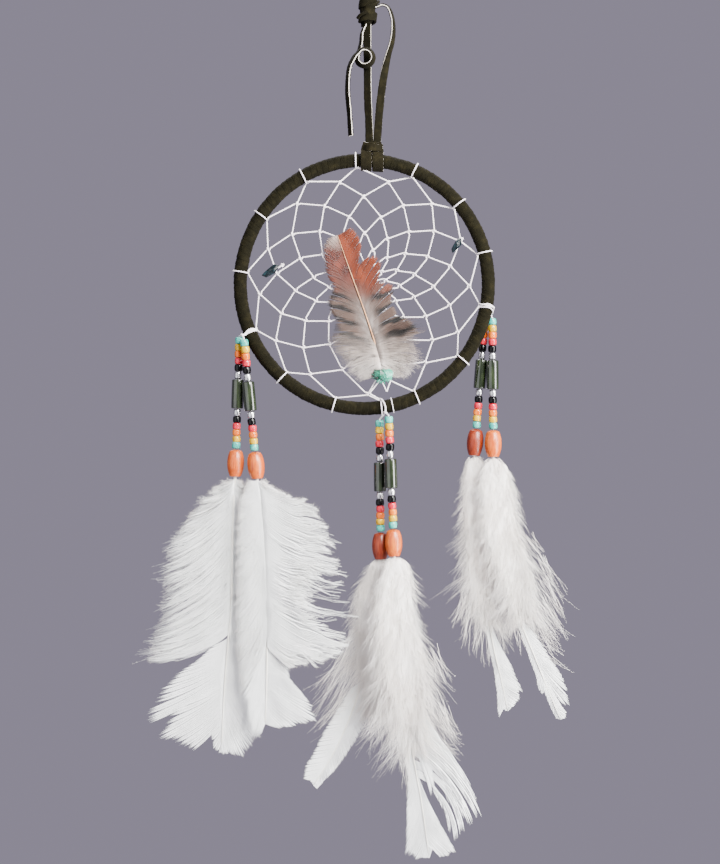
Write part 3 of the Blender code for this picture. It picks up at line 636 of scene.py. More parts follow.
# --------------------------------------------------------------------------- web
TIE_ANGLES = [93.8, 66.0, 40.2, 14.6, -10.2, -37.7, -65.2, -82.3, -104.4, -131.7, -157.3, -185.9, -213.9, -240.6]
TIE_R = 56.3
ROUND_R = [51.2, 42.8, 33.7, 25.0, 17.3, 10.6, 5.6]
ROUND_DRAG = [-3.2, 0.3, -1.0, 0.3, -0.8, 0.0, 0.0]
ODD_KNOTS = {(0, 5): (2.6, 48.4), (0, 6): (-2.7, 45.5), (0, 7): (8.0, 53.6), (0, 11): (2.9, 49.9), (1, 6): (4.6, 43.2)}
N = len(TIE_ANGLES)
knots = [[(a, TIE_R) for a in TIE_ANGLES]]
for r, (radius, drag) in enumerate(zip(ROUND_R, ROUND_DRAG)):
    up, row = knots[-1], []
    for i in range(N):
        a0, a1 = up[i][0], up[(i + 1) % N][0] - (360 if i == N - 1 else 0)
        extra, rad = ODD_KNOTS.get((r, i), (0.0, radius))
        row.append(((a0 + a1) / 2 + drag + extra, rad))
    knots.append(row)
FRONT = np.array([0.0, -1.0, 0.0])


def web_point(k):
    a = math.radians(k[0])
    return HOOP + k[1] * np.array([math.cos(a), 0, math.sin(a)])


def knot_frame(k):
    a = math.radians(k[0])
    return np.array([math.cos(a), 0, math.sin(a)]), np.array([math.sin(a), 0, -math.cos(a)])


def half_hitch(k, size=1.0):
    """The thread comes in from the left, over the one above it, round and out."""
    p, (er, et) = web_point(k), knot_frame(k)
    pts = [(-0.95, -0.75, 0.25), (-0.45, 0.05, 0.72), (0.10, 0.72, 0.42), (0.42, 0.55, -0.35), (0.12, -0.10, -0.74),
           (-0.30, -0.62, -0.30), (-0.05, -0.72, 0.42), (0.42, -0.72, 0.35), (0.95, -0.85, 0.05)]
    ctrl = [p + (et * a + er * b + FRONT * c) * size for a, b, c in pts]
    return smooth(ctrl, step=0.25)


def rim_turn(deg, b0=-25.0, b1=385.0, rad=3.86, spread=1.1, n=30):
    """Thread wound round the rim at an angle, from its inner side over the front."""
    radial, along = rim_frame(np.array([float(deg)]))
    radial, along = radial[0], along[0]
    c = HOOP + HOOP_R * radial
    b = np.radians(np.linspace(b0, b1, n))[:, None]
    g = np.linspace(-0.5, 0.5, n)[:, None] * spread
    return c + rad * (-radial * np.cos(b) + FRONT * np.sin(b)) - along * g


def web_round(k):
    """Round k of the web, hitched to the round above and pulled into a vee between."""
    out = []
    for i in range(N):
        up, low, nxt = knots[k - 1][i], knots[k][i], web_point(knots[k - 1][(i + 1) % N])
        if k == 1:
            out.append(rim_turn(up[0]))
        else:
            out.append(half_hitch(up))
        p, (er, et) = web_point(low), knot_frame(low)
        vee = [p - et * 0.55 + er * 0.55, p - et * 0.2 + er * 0.14, p + et * 0.2 + er * 0.14, p + et * 0.55 + er * 0.55]
        out.append(np.array(vee) - FRONT * 0.1)
        if k == 1 and i == 6:
            out.append(np.array([at(380.2, 380.2, -1.6), at(370.2, 392.2, -1.0), at(369.6, 393.6, -1.0)]))
    return np.vstack(out)


for k in range(1, 8):
    geo = Geo()
    thread(geo, web_round(k), radius=0.31 if k > 1 else 0.33, pitch=1.7, closed=True)
    build("web_round_%d" % k, geo, [THREAD], "hoop", ["web_first_round" if k == 1 else "web_net"])
pts = []
for i in range(N):
    pts.append(half_hitch(knots[7][i], 0.8))
geo = Geo()
thread(geo, np.vstack(pts), radius=0.30, pitch=1.7, closed=True)
build("web_inner_ring", geo, [THREAD], "hoop", ["web_net"])

# ------------------------------------------------------------ ties and pair knots
PAIRS = {"left": (-63.3, -4.4, -184.5), "centre": (6.96, -4.85, -224.1), "right": (58.05, 5.3, -176.2)}
TIES = {"left": [[(257, 329.8, -.9), (254.4, 329.3, -3.1), (251.2, 329.4, -3.9), (247.6, 331.4, -4.1), (244.9, 334.8, -4.3)],
                 [(257, 330.6, -.9), (254.6, 330.6, -3.2), (251.6, 330.8, -4.0), (248.6, 332.4, -4.2), (246.0, 335.2, -4.4)]],
        "centre": [[(379.7, 398.8, -.9), (381.6, 399.6, -2.8), (384.0, 403.2, -4.0), (385.4, 408.0, -4.0), (385.3, 411.6, -4.2)]],
        "right": [[(478.7, 307.1, -.9), (482, 305.2, -3.2), (486, 304.4, -3.9), (490, 305.2, -3.4), (493.4, 308, -.8),
                   (492.6, 312, 2.8)],
                  [(478.7, 307.3, -.9), (482.6, 307.4, -3.3), (486.6, 307.6, -3.9), (490.4, 308.8, -3.3),
                   (492.8, 311.4, -.6), (492.0, 314, 3.2)]]}
KNOT_SHIFT = {"left": (0.7, -0.4, -1.3), "centre": (0, -0.2, 0.55), "right": (0.6, 0, 0.6)}
THIN_LAP = {"left": None, "centre": -77.0, "right": None}
for side, leads in TIES.items():
    knot = np.array(PAIRS[side]) + KNOT_SHIFT[side]
    geo = Geo()
    for lead in leads:
        thread(geo, smooth([at(*q) for q in lead] + [tuple(knot)], step=0.3), radius=0.40 if side != "right" else 0.34)
    if THIN_LAP[side]:
        lap = rim_turn(THIN_LAP[side], b0=-30, b1=330, rad=3.72, spread=0.4)
        thread(geo, lap, radius=0.20, closed=True)
    build(side + "_rim_ties", geo, [THREAD], "hoop", [side + "_rim_tie"])
    geo = Geo()
    t = np.linspace(0, TAU, 120, endpoint=False)
    tre = np.stack([np.sin(t) + 2 * np.sin(2 * t), np.cos(t) - 2 * np.cos(2 * t), -1.3 * np.sin(3 * t)], -1) * 0.24
    thread(geo, knot + tre, radius=0.32, closed=True, step=0.2)
    build(side + "_knot_thread", geo, [THREAD], side + "_pair", [side + "_pair_knot"])

# ----------------------------------------------------------------------- strands
UPPER = [("turquoise", 0.0), ("yellow", 3.35), ("orange", 6.7), ("red", 10.0), ("black", 13.2), ("silver", 16.9)]
LOWER = [("silver", 35.2), ("black", 38.6), ("red", 41.8), ("orange", 44.9), ("yellow", 48.0), ("turquoise", 51.0)]
UPPER_ENDS, LOWER_ENDS = (-1.65, 18.85), (33.45, 52.75)
TUBE_SPAN, WOOD_SPAN = (19.0, 33.3), (53.1, 66.3)
STRANDS = {
    "left_outer": ("left", (-64.2, -2.4, -188.4), (-66.0, -2.4, -248.1)),
    "left_inner": ("left", (-61.5, -6.4, -189.7), (-55.8, -6.4, -250.1)),
    "centre_back": ("centre", (4.15, -2.0, -228.8), (4.6, -2.0, -287.6)),
    "centre_front": ("centre", (8.55, -7.8, -227.0), (10.9, -7.8, -285.7)),
    "right_back": ("right", (56.0, 7.4, -178.5), (51.2, 7.4, -239.2)),
    "right_front": ("right", (59.35, 3.4, -178.9), (59.9, 3.4, -239.5)),
}


def bead_profile(half, radius, bore=0.62, square=0.62):
    """Rounded barrel with a small flat at each end and a hole through it."""
    a = np.linspace(-math.pi / 2, math.pi / 2, 15)
    s = half * np.sign(np.sin(a)) * np.abs(np.sin(a)) ** 0.85
    r = bore + 0.25 + (radius - bore - 0.25) * np.abs(np.cos(a)) ** square
    out = list(zip(s, r))
    return out + [(half * 0.93, bore), (0.0, bore), (-half * 0.93, bore)]


def spread_edges(row, ends):
    c = [q for _, q in row]
    mids = [(c[i] + c[i + 1]) / 2 for i in range(len(c) - 1)]
    return [(col, a, b) for (col, _), a, b in zip(row, [ends[0]] + mids, mids + [ends[1]])]


for si, (name, (side, first, far)) in enumerate(STRANDS.items()):
    rng = np.random.default_rng(300 + si)
    first, far, knot = np.array(first), np.array(far), np.array(PAIRS[side]) + KNOT_SHIFT[side]
    down = unit(far - first)
    across = unit(np.cross(down, FRONT))
    body = name + "_strand"
    geo = Geo()
    top = first + down * -1.9
    line = np.vstack([smooth([knot, knot * 0.45 + top * 0.55 + FRONT * 0.12, top, first], step=0.3),
                      [first + down * 52.8]])
    thread(geo, line, radius=0.38, pitch=2.0, step=0.5)
    build(name + "_string", geo, [THREAD], body, [name + "_thread"])
    for where, row, ends in (("upper", UPPER, UPPER_ENDS), ("lower", LOWER, LOWER_ENDS)):
        for bi, (col, a, b) in enumerate(spread_edges(row, ends)):
            half, mid = (b - a) / 2 - 0.03, (a + b) / 2
            radius = {"silver": 1.88, "black": 2.05}.get(col, 2.06) * rng.uniform(0.965, 1.03)
            tilt = rng.normal(size=2) * (0.02 if col in ("silver",) else 0.045)
            ax = unit(down + across * tilt[0] + FRONT * tilt[1])
            slip = (across * rng.uniform(-1, 1) + FRONT * rng.uniform(-1, 1)) * 0.12
            geo = Geo()
            lathe(geo, bead_profile(half, radius, square=0.5 if col == "silver" else 0.36), first + down * mid + slip, ax,
                  28, wob=0.05 if col != "silver" else 0.015, seed=si * 20 + bi)
            build("%s_%s_bead_%d_%s" % (name, where, bi + 1, col), geo, [BEADS[col]], body,
                  ["%s_%s_beads" % (name, where)], recalc=True, sharp=60)
    t0, t1 = TUBE_SPAN
    prof = [(t0, 0.75), (t0 + 0.02, 2.1)]
    for q in np.linspace(0, math.pi / 2, 5):
        prof.append((t0 + 0.55 - 0.53 * math.cos(q), 2.35 + 0.66 * math.sin(q)))
    prof += [(t0 + (t1 - t0) * q, 3.01 + 0.05 * math.sin(q * math.pi)) for q in (0.2, 0.35, 0.5, 0.65, 0.8)]
    for q in np.linspace(math.pi / 2, 0, 5):
        prof.append((t1 - 0.55 + 0.53 * math.cos(q), 2.35 + 0.66 * math.sin(q)))
    prof += [(t1 - 0.02, 2.1), (t1, 0.75)]
    geo = Geo()
    lathe(geo, prof, first, down, 40)
    build(name + "_glass_tube", geo, [TUBE], body, [name + "_tube_bead"], recalc=True, sharp=50)

    w0, w1 = WOOD_SPAN
    half, mid = (w1 - w0) / 2, (w0 + w1) / 2
    prof = [(w0 + 0.40, 0.9), (w0 + 0.16, 1.1), (w0 + 0.20, 1.5), (w0 + 0.48, 2.1), (w0 + 0.62, 2.45)]
    for q in np.linspace(-0.86, 0.985, 20):
        prof.append((mid + half * q, 2.62 + 1.50 * (1 - abs(q) ** 2.15)))
    prof += [(w1, 2.25), (w1, 1.25), (w1 - 0.15, 1.0)]
    geo = Geo()
    lathe(geo, prof, first, down, 40, wob=0.05, seed=si + 900)
    # the two back barrels take the darker wood copy, which is painted shade
    build(name + "_wood_barrel", geo, [WOOD_PAINTED_SHADE if name in ("centre_back", "right_back") else WOOD], name + "_pendant", [name + "_wood_bead"], recalc=True, sharp=45)


# ---------------------------------------------------------------------- feathers
def prisms(geo, v, m=0, c=None):
    """Closed rods: v is (rods, stations, corners, 3)."""
    n, s, k = v.shape[:3]
    one = grid_faces(s, k)
    o = (np.arange(n) * s * k)[:, None, None]
    quads = (one[None] + o).reshape(-1, 4)
    cap0 = (np.arange(k - 1, -1, -1)[None, None] + o).reshape(-1, k)
    cap1 = ((s - 1) * k + np.arange(k)[None, None] + o).reshape(-1, k)
    if c is not None:
        c = np.broadcast_to(c, v.shape).reshape(-1, 3)
    geo.add(v.reshape(-1, 3), [quads, cap0, cap1], m, c)


def hair(geo, C, r0, r1, m=0, c=None):
    """Three-sided tapering hairs along the curves C (rods, stations, 3)."""
    T = unit(np.gradient(C, axis=1))
    a = unit(np.cross(T, np.array([0.31, 0.83, 0.46])))
    b = np.cross(T, a)
    s = C.shape[1]
    r = np.broadcast_to(np.asarray(r0, float).reshape(-1, 1), (len(C), 1)) * (1 - np.linspace(0, 1, s)[None]) \
        + r1 * np.linspace(0, 1, s)[None]
    th = np.arange(3) * TAU / 3
    v = C[:, :, None] + (a[:, :, None] * np.cos(th)[:, None] + b[:, :, None] * np.sin(th)[:, None]) * r[..., None, None]
    if c is not None:
        c = np.asarray(c)[:, None, None, :] if np.ndim(c) == 2 else np.asarray(c)[:, :, None, :]
    prisms(geo, v, m, c)


def spikes(geo, base, d, length, radius, m=0, c=None):
    n = len(base)
    u = unit(np.cross(d, np.array([0.29, 0.81, 0.5])))
    w = np.cross(d, u)
    th = np.arange(3) * TAU / 3
    v = base[:, None] + (u[:, None] * np.cos(th)[:, None] + w[:, None] * np.sin(th)[:, None]) * radius
    v = np.concatenate([v, (base + d * np.reshape(length, (-1, 1)))[:, None]], 1)
    tri = np.array([[0, 2, 1], [0, 1, 3], [1, 2, 3], [2, 0, 3]])
    if c is not None:
        c = np.broadcast_to(c[:, None], v.shape).reshape(-1, 3)
    geo.add(v.reshape(-1, 3), [(np.arange(n)[:, None, None] * 4 + tri[None]).reshape(-1, 3)], m, c)


class Shaft:
    def __init__(self, pts):
        self.p = smooth([at(*q) for q in pts], n=300)
        self.t = unit(np.gradient(self.p, axis=0))

    def at(self, s, what="p"):
        arr = self.p if what == "p" else self.t
        q = np.clip(s, 0, 1) * (len(arr) - 1)
        return np.stack([np.interp(q, np.arange(len(arr)), arr[:, k]) for k in range(3)], -1)


def barb_lines(shaft, stations, n, m=11, bend=0.12, camber=0.0, seed=0, rag=0.02, clump=0.0, lift=0.0, ripple=0.25,
               ragged=0.0, groups=(5, 14), thin_out=0.0, sway=0.0):
    """Centre lines of n barbs from the shaft to an outline.

    stations are (place along the shaft, grid u, grid v, fullness)."""
    rng = np.random.default_rng(seed)
    st = np.array(stations, float)
    q = run_length(st[:, 1:3])
    q = 0.7 * q / q[-1] + 0.3 * (st[:, 0] - st[0, 0]) / (st[-1, 0] - st[0, 0] + 1e-9)
    f = np.linspace(0, 1, n)
    s, u, v, full = (np.interp(f, q, st[:, k]) for k in range(4))
    root = shaft.at(s)
    tan = shaft.at(s, "t")
    tip = np.stack([(u - 371) * STEP, root[:, 1], -(v + 45) * STEP], -1)
    length = np.linalg.norm(tip - root, axis=1)
    if clump:
        # neighbours lean together in small groups, which leaves slits between groups
        edges = np.cumsum(rng.integers(groups[0], groups[1], n))
        group = np.searchsorted(edges, np.arange(n))
        for gidx in np.unique(group):
            sel = group == gidx
            pull = clump * rng.uniform(0.5, 1.3)
            tip[sel] = tip[sel] * (1 - pull) + tip[sel].mean(0) * pull
            tip[sel] = root[sel] + (tip[sel] - root[sel]) * (1 + ragged * rng.normal())
    if thin_out:
        # most barbs stop early where the edge is sparse; the rest run on as single hairs
        short = rng.random(n) < np.clip((0.80 - full) / 0.35, 0, 1) * thin_out
        cut = np.where(short, np.minimum(full + rng.uniform(0.0, 0.22, n), 1.0), 1.0)
        tip = root + (tip - root) * cut[:, None]
        full = np.where(short, 0.80, full)
    tip = root + (tip - root) * (1 + rng.normal(size=(n, 1)) * rag)
    chord = tip - root
    perp = np.cross(chord, FRONT)
    perp = perp * np.sign((perp * tan).sum(-1, keepdims=True))
    ctl = root + chord * 0.45 + perp * bend
    t = np.linspace(0, 1, m)[None, :, None]
    C = (1 - t) ** 2 * root[:, None] + 2 * t * (1 - t) * ctl[:, None] + t ** 2 * tip[:, None]
    tt = t[..., 0]
    C[..., 1] += camber * tt ** 2 * (length[:, None] / 30.0) + lift
    if sway:
        # barbs wander along the shaft, more so near their tips
        flat = C.reshape(-1, 3)
        drift = (waves(flat, 16.0, seed + 31) + 0.5 * waves(flat, 6.0, seed + 32)).reshape(C.shape[:2])
        along = unit(tan)[:, None] * np.array([1, 0, 1])
        C = C + along * (sway * drift * tt ** 1.6)[..., None]
    C[..., 1] += ripple * waves(C.reshape(-1, 3), 11.0, seed + 5).reshape(C.shape[:2]) * (0.3 + tt)
    return C, full, length


def ribbons(geo, C, full, over=1.3, thick=0.045, tilt=0.07, thin=0.10, top=0.85, m=0, c=None):
    """Barbs as narrow lens-shaped strips, as wide as the space between them up to
    their fullness and then running out to a hair."""
    n, s, _ = C.shape
    T = unit(np.gradient(C, axis=1))
    side = unit(np.cross(T, FRONT))
    gap = np.abs(((C[1:] - C[:-1]) * side[:-1]).sum(-1))
    gap = np.minimum(np.concatenate([gap[:1], gap]), np.concatenate([gap, gap[-1:]])) * 0.5 \
        + np.maximum(np.concatenate([gap[:1], gap]), np.concatenate([gap, gap[-1:]])) * 0.5
    hw = np.clip(gap * 0.5 * over, thin / 2, top / 2)
    t = np.linspace(0, 1, s)[None]
    x = np.clip((t - full[:, None]) / np.maximum(1 - full[:, None], 0.02), 0, 1)
    keep = 1 - x * x * (3 - 2 * x)
    hw = hw * keep + thin / 2 * (1 - keep)
    hw = hw[..., None]
    v = np.stack([C - side * hw - FRONT * tilt, C + FRONT * thick, C + side * hw + FRONT * tilt, C - FRONT * thick], 2)
    if c is not None:
        c = np.asarray(c)[:, :, None, :]
    prisms(geo, v, m, c)


def barbules(geo, C, t0, count, length, radius, seed, m=0, c=None, side_way=0.8):
    """Fine side hairs along the outer part of each barb."""
    rng = np.random.default_rng(seed)
    n, s, _ = C.shape
    T = unit(np.gradient(C, axis=1))
    tt = t0 + (1 - t0) * rng.random((n, count)) ** 0.8
    q = tt * (s - 1)
    i0 = np.minimum(q.astype(int), s - 2)
    fr = (q - i0)[..., None]
    rows = np.arange(n)[:, None]
    base = C[rows, i0] * (1 - fr) + C[rows, i0 + 1] * fr
    tan = T[rows, i0]
    side = unit(np.cross(tan, FRONT)) * rng.choice((-1, 1), (n, count))[..., None]
    d = unit(tan * 0.9 + side * side_way + rng.normal(size=base.shape) * 0.28)
    ln = length * rng.uniform(0.5, 1.25, (n, count))
    cc = None if c is None else c[rows, i0].reshape(-1, 3)
    spikes(geo, base.reshape(-1, 3), d.reshape(-1, 3), ln.ravel(), radius, m, cc)


def quill_piece(name, shaft, body, r0=0.62, r1=0.16, lead=None, mat=None, lift=0.25):
    p = shaft.p[::3].copy()
    p[:, 1] -= lift
    if lead is not None:
        p = np.vstack([np.array(lead, float)[None], p])
    p = resample(p, 120)
    f = np.linspace(0, 1, len(p))
    geo = Geo()
    tube(geo, p, r0 * (1 - f) ** 0.8 + r1, 10)
    return build(name, geo, [mat or QUILL], body)


def tuned(n):
    return n if FINE else max(20, n // 4)


def strand_end(name, s):
    _, first, far = STRANDS[name]
    first, far = np.array(first), np.array(far)
    return first + unit(far - first) * s


# --- the flat pair on the left: broad vanes with loose, wispy edges
LEFT = {
    "left_outer": dict(
        shaft=[(235.5, 477, -2.4), (234, 500, -2.3), (232.3, 560, -2.2), (231.5, 610, -2.2), (228.4, 640, -2.2),
               (224.5, 690, -2.2), (222, 744, -2.2)],
        camber=2.2, lift=0.0,
        down=[
            [(0.004, 230, 482, .95), (0.015, 215, 489, .9), (0.03, 199, 505, .85), (0.045, 181, 529, .8),
             (0.06, 171, 541, .75), (0.10, 168, 556, .70), (0.15, 165, 572, .65), (0.20, 165, 588, .66),
             (0.26, 164, 604, .60), (0.32, 162, 618, .55), (0.37, 160, 630, .52), (0.41, 152, 639, .50),
             (0.46, 153, 646, .55), (0.52, 150, 654, .7), (0.585, 154, 661.5, .9)],
            [(0.004, 241, 481, .95), (0.03, 256, 505, .9), (0.1, 262, 545, .9), (0.3, 260, 620, .9),
             (0.45, 258, 660, .95), (0.56, 258, 692, .98)]],
        tail=[
            [(0.60, 215, 644, .98), (0.63, 196, 660.5, .98), (0.66, 177.6, 673.5, .98), (0.69, 162.6, 688.5, .98),
             (0.71, 157.9, 698, .98), (0.73, 149.4, 717, .98), (0.738, 150, 722, .98), (0.748, 154.5, 721, .98),
             (0.762, 161, 711, .98), (0.775, 168.2, 706.5, .98), (0.785, 173.9, 709, .98), (0.792, 171, 717, .98),
             (0.80, 160, 733.5, .98), (0.805, 160, 737.5, .98), (0.84, 168.5, 739, .98), (0.87, 180, 744, .98),
             (0.90, 196.5, 749, .98), (0.912, 200.5, 743, .98), (0.922, 209.6, 731, .98), (0.932, 212.4, 741, .98),
             (0.942, 213.4, 749, .98), (0.99, 222, 753, .98)],
            [(0.57, 259, 696, .98), (0.63, 263, 712, .98), (0.68, 262, 724, .98), (0.74, 259, 734, .98),
             (0.77, 253, 736, .98), (0.81, 251, 745, .98), (0.86, 240, 755, .98), (0.92, 232, 753, .98),
             (0.99, 223, 753, .98)]]),
    "left_inner": dict(
        shaft=[(257.8, 479, -6.4), (262, 500, -6.6), (266, 560, -6.7), (267.6, 630, -6.7), (267.2, 680, -6.7),
               (266, 722, -6.7)],
        camber=-2.2, lift=0.0,
        down=[
            [(0.004, 263, 481, .95), (0.015, 283, 493, .9), (0.03, 300, 500, .9), (0.045, 311, 506, .85),
             (0.06, 320.7, 517, .8), (0.09, 327, 530, .8), (.13, 331, 545, .78), (.18, 333, 556, .74),
             (.22, 335, 567, .66), (.27, 339, 577, .58), (.31, 341, 587, .50), (.36, 344, 602, .44),
             (.41, 346, 615, .38), (.45, 347, 626, .36), (.49, 346.5, 636, .60), (.53, 345, 643, .85), (.58, 336, 651, .92),
             (.63, 318.8, 659.3, .95), (.68, 288.7, 664.5, .98)],
            [(0.004, 250, 481, .95), (0.04, 240, 500, .95), (0.14, 237.5, 545, .95), (0.3, 237, 600, .95),
             (0.45, 238, 652, .95), (.62, 241, 692, .95)]],
        tail=[
            [(.69, 289, 666, .98), (.73, 290.5, 677, .98), (.77, 301.8, 690, .98), (.81, 311, 701.5, .98),
             (.84, 313.5, 716.5, .98), (.88, 303.7, 720.5, .98), (.92, 291, 724, .98), (.95, 279.3, 726, .98),
             (.98, 271.7, 724.3, .98), (1.0, 266.5, 722, .98)],
            [(.63, 243, 694, .98), (.69, 247, 708, .98), (.74, 249, 724, .98), (.80, 253, 734, .98),
             (.86, 258, 734, .98), (.92, 262, 731, .98), (1.0, 265.5, 722, .98)]]),
}
LOOSE = {"left_outer": ((2, 170), (1, 160)), "left_inner": ((1, 90), (1, 160))}
for fi, (name, spec) in enumerate(LEFT.items()):
    shaft = Shaft(spec["shaft"])
    body = name + "_pendant"
    quill_piece(name + "_quill", shaft, body, 0.62, 0.16, lead=strand_end(name, 62.0))
    seed = 1000 + 100 * fi
    way = float(np.sign(spec["camber"]))
    vane, soft = Geo(), Geo()
    for k, lobe in enumerate(spec["down"]):
        calm = 1.0 if k == 0 else 0.35
        bow = spec["camber"] if k == 0 else (-2.0 if way > 0 else 1.0)
        for layer, (lift, over, fmul) in enumerate(((0.0, 1.5, 1.0), (0.6, 1.35, 0.80), (1.1, 1.2, 0.62))):
            C, full, _ = barb_lines(shaft, lobe, tuned(230), bend=0.17, camber=bow, seed=seed + 7 * k + layer,
                                    rag=0.02, clump=(0.8, 0.65, 0.5)[layer] * calm, lift=lift * way, ragged=(0.022, 0.035, 0.05)[layer] * calm,
                                    groups=((6, 20), (4, 14), (3, 10))[layer], ripple=0.5,
                                    thin_out=(0.66, 0.80, 0.90)[layer] if way > 0 else (0.93, 0.97, 0.99)[layer], sway=(1.0, 1.6, 2.2)[layer] * calm)
            ribbons(vane, C, full * fmul, over, top=1.05, thin=0.09)
            barbules(soft, C, 0.30, tuned(22), 1.9, 0.030, seed + 300 + 7 * k + layer)
    for k, lobe in enumerate(spec["tail"]):
        C, full, _ = barb_lines(shaft, lobe, tuned(210), m=12, bend=0.09, camber=spec["camber"] * 0.5, seed=seed + 40 + k,
                                rag=0.02, clump=0.5, ripple=0.3, groups=(3, 9), ragged=0.022)
        ribbons(vane, C, full - 0.15, 1.7, tilt=0.05, top=1.3, thin=0.06)
    build(name + "_vane", vane, [WHITE], body, [name + "_feather"])
    build(name + "_vane_down", soft, [DOWN], body, flat=True)
    loose, fuzz = Geo(), Geo()
    for k, lobe in enumerate(spec["down"]):
        layers, cnt = LOOSE[name][k]
        for layer in range(layers):
            C, full, ln = barb_lines(shaft, lobe, tuned(cnt), m=9, bend=0.20, camber=spec["camber"] * (0.6 + 0.5 * layer),
                                     seed=seed + 60 + 9 * k + layer, rag=0.05, clump=0.75, ragged=0.06, groups=(3, 9),
                                     lift=(layer - 1) * 0.7, ripple=1.0, sway=2.6)
            jitter = np.random.default_rng(seed + layer).normal(size=(len(C), 1, 3)) * np.array([0.5, 0.4, 0.5])
            C = C + jitter * (np.linspace(0, 1, C.shape[1]) ** 1.5)[None, :, None]
            hair(loose, C, 0.085, 0.04)
            barbules(fuzz, C[::2], 0.35, tuned(11), 1.4, 0.033, seed + 80 + layer + 5 * k)
    build(name + "_loose_barbs", loose, [WHITE], body)
    build(name + "_barbules", fuzz, [DOWN], body, flat=True)


# --- the four fluffy feathers: a soft body of down over a narrow cut vane
def fluffy(name, rows, shaft, n, seed, side_len=(2.5, 6.5), front_len=3.6, wisps=(), tails=(), sides=(1.0, 1.0), reach=1.0):
    body = name + "_pendant"
    rng = np.random.default_rng(seed)
    R = np.array(rows, float)
    R = smooth(R, n=160)
    z, x0, x1 = -(R[:, 0] + 45) * STEP, (R[:, 1] - 371) * STEP, (R[:, 2] - 371) * STEP
    y, t = R[:, 3], np.maximum(R[:, 4], 0.3)
    xc, hx = (x0 + x1) / 2, np.maximum((x1 - x0) / 2, 0.6)
    run = np.linspace(0, 1, len(R))

    # inner mass
    ns, k = 110, 40
    f = np.linspace(0.0, 0.95, ns)
    g = lambda arr, q: np.interp(q, run, arr)
    th = np.arange(k) * TAU / k
    close = np.clip(np.minimum(f / 0.05, (0.98 - f) / 0.14), 0.08, 1) ** 0.5
    shrink = np.interp(f, (0, 0.35, 0.7, 0.95), (0.80, 0.70, 0.50, 0.25)) * close
    cosn, sinn = np.sign(np.cos(th)) * np.abs(np.cos(th)) ** 0.9, np.sin(th)
    P = np.stack([g(xc, f)[:, None] + (g(hx, f) * shrink)[:, None] * cosn[None],
                  g(y, f)[:, None] + (g(t, f) * shrink * 0.85)[:, None] * sinn[None],
                  np.repeat(g(z, f)[:, None], k, 1)], -1)
    pf = P.reshape(-1, 3)
    stretched = pf * np.array([1, 1, 0.28])
    d = np.stack([cosn, sinn, 0 * sinn], -1)[None]
    lump = (waves(stretched, 5.0, seed) * 0.55 + waves(stretched, 2.2, seed + 2, 10) * 0.3
            + waves(stretched, 1.0, seed + 1, 12) * 0.14).reshape(ns, k)
    P = P + d * lump[..., None] * close[:, None, None]
    mass = Geo()
    mass.add(P, [grid_faces(ns, k)[:, ::-1], np.arange(k)[None], ((ns - 1) * k + np.arange(k))[::-1][None]])
    build(name + "_down_mass", mass, [DOWN], body, [name + "_feather"], recalc=True)

    # downy hairs rooted all over it, drawn together in tufts
    n = tuned(n)
    coat, fuzz = Geo(), Geo()
    for layer, (share, grow, r0) in enumerate(((0.66, 1.0, 0.062), (0.34, 1.4, 0.08))):
        q = int(n * share)
        f = rng.random(q) ** 0.85 * 0.97
        a = rng.uniform(0, TAU, q)
        ca, sa = np.cos(a), np.sin(a)
        hxv, tv = g(hx, f), g(t, f)
        inner = np.interp(f, (0, 0.35, 0.7, 1.0), (0.76, 0.64, 0.42, 0.18))
        root = np.stack([g(xc, f) + hxv * inner * ca, g(y, f) + tv * inner * 0.85 * sa, g(z, f)], -1)
        nrm = unit(np.stack([ca / hxv * tv, sa, 0 * ca], -1) * np.array([2.2, 1, 1]))
        sideness = np.abs(nrm[:, 0])
        # side hairs reach the outline; front and back ones stay close
        reach_side = hxv * (1 - inner) * 1.05 + (side_len[0] + (side_len[1] - side_len[0]) * f) \
            * np.where(ca < 0, sides[0], sides[1])
        ln = reach_side * sideness + (front_len + 3.0 * f) * (1 - sideness)
        ln = ln * rng.uniform(0.55, 1.25, q) * np.where(rng.random(q) < 0.04, 1.45, 1.0) * grow * reach
        cell = np.floor(np.stack([a * 3.2, f * 34 + layer * 0.5], -1)).astype(int)
        key = (cell[:, 0] * 7919 + cell[:, 1] * 104729 + seed) % 4093
        tuft = np.random.default_rng(seed + 5 + layer).normal(size=(4093, 3))[key]
        ln = ln * (1 + 0.22 * np.clip(tuft[:, 2], -1.5, 1.5))
        down = np.stack([0.22 * ca, 0 * ca, -1.0 + 0 * ca], -1)
        out = (0.16 + (0.42 - 0.10 * f) * sideness)[:, None]
        swirl = np.stack([waves(root, 9.0, seed + 3), 0.3 * waves(root, 9.0, seed + 4), 0 * f], -1) * 0.22 \
            + tuft * np.array([0.20, 0.10, 0.10]) + rng.normal(size=(q, 3)) * np.array([0.07, 0.05, 0.07])
        tt = np.linspace(0, 1, 5)[None, :, None]
        K = root + nrm * (ln * 0.40)[:, None] * (out + 0.30) + down * (ln * 0.22)[:, None]
        E = root + nrm * (ln * 0.80)[:, None] * out + (down * 0.9 + swirl) * (ln * 0.9)[:, None]
        C = (1 - tt) ** 2 * root[:, None] + 2 * tt * (1 - tt) * K[:, None] + tt ** 2 * E[:, None]
        hair(coat, C, r0, 0.025)
        edge = np.nonzero((sideness > 0.6) | (f > 0.6))[0][::2]
        barbules(fuzz, C[edge], 0.25, 5, 0.9, 0.026, seed + 9 + layer)
    build(name + "_down_coat", coat, [DOWN], body)
    build(name + "_down_fuzz", fuzz, [DOWN], body, flat=True)

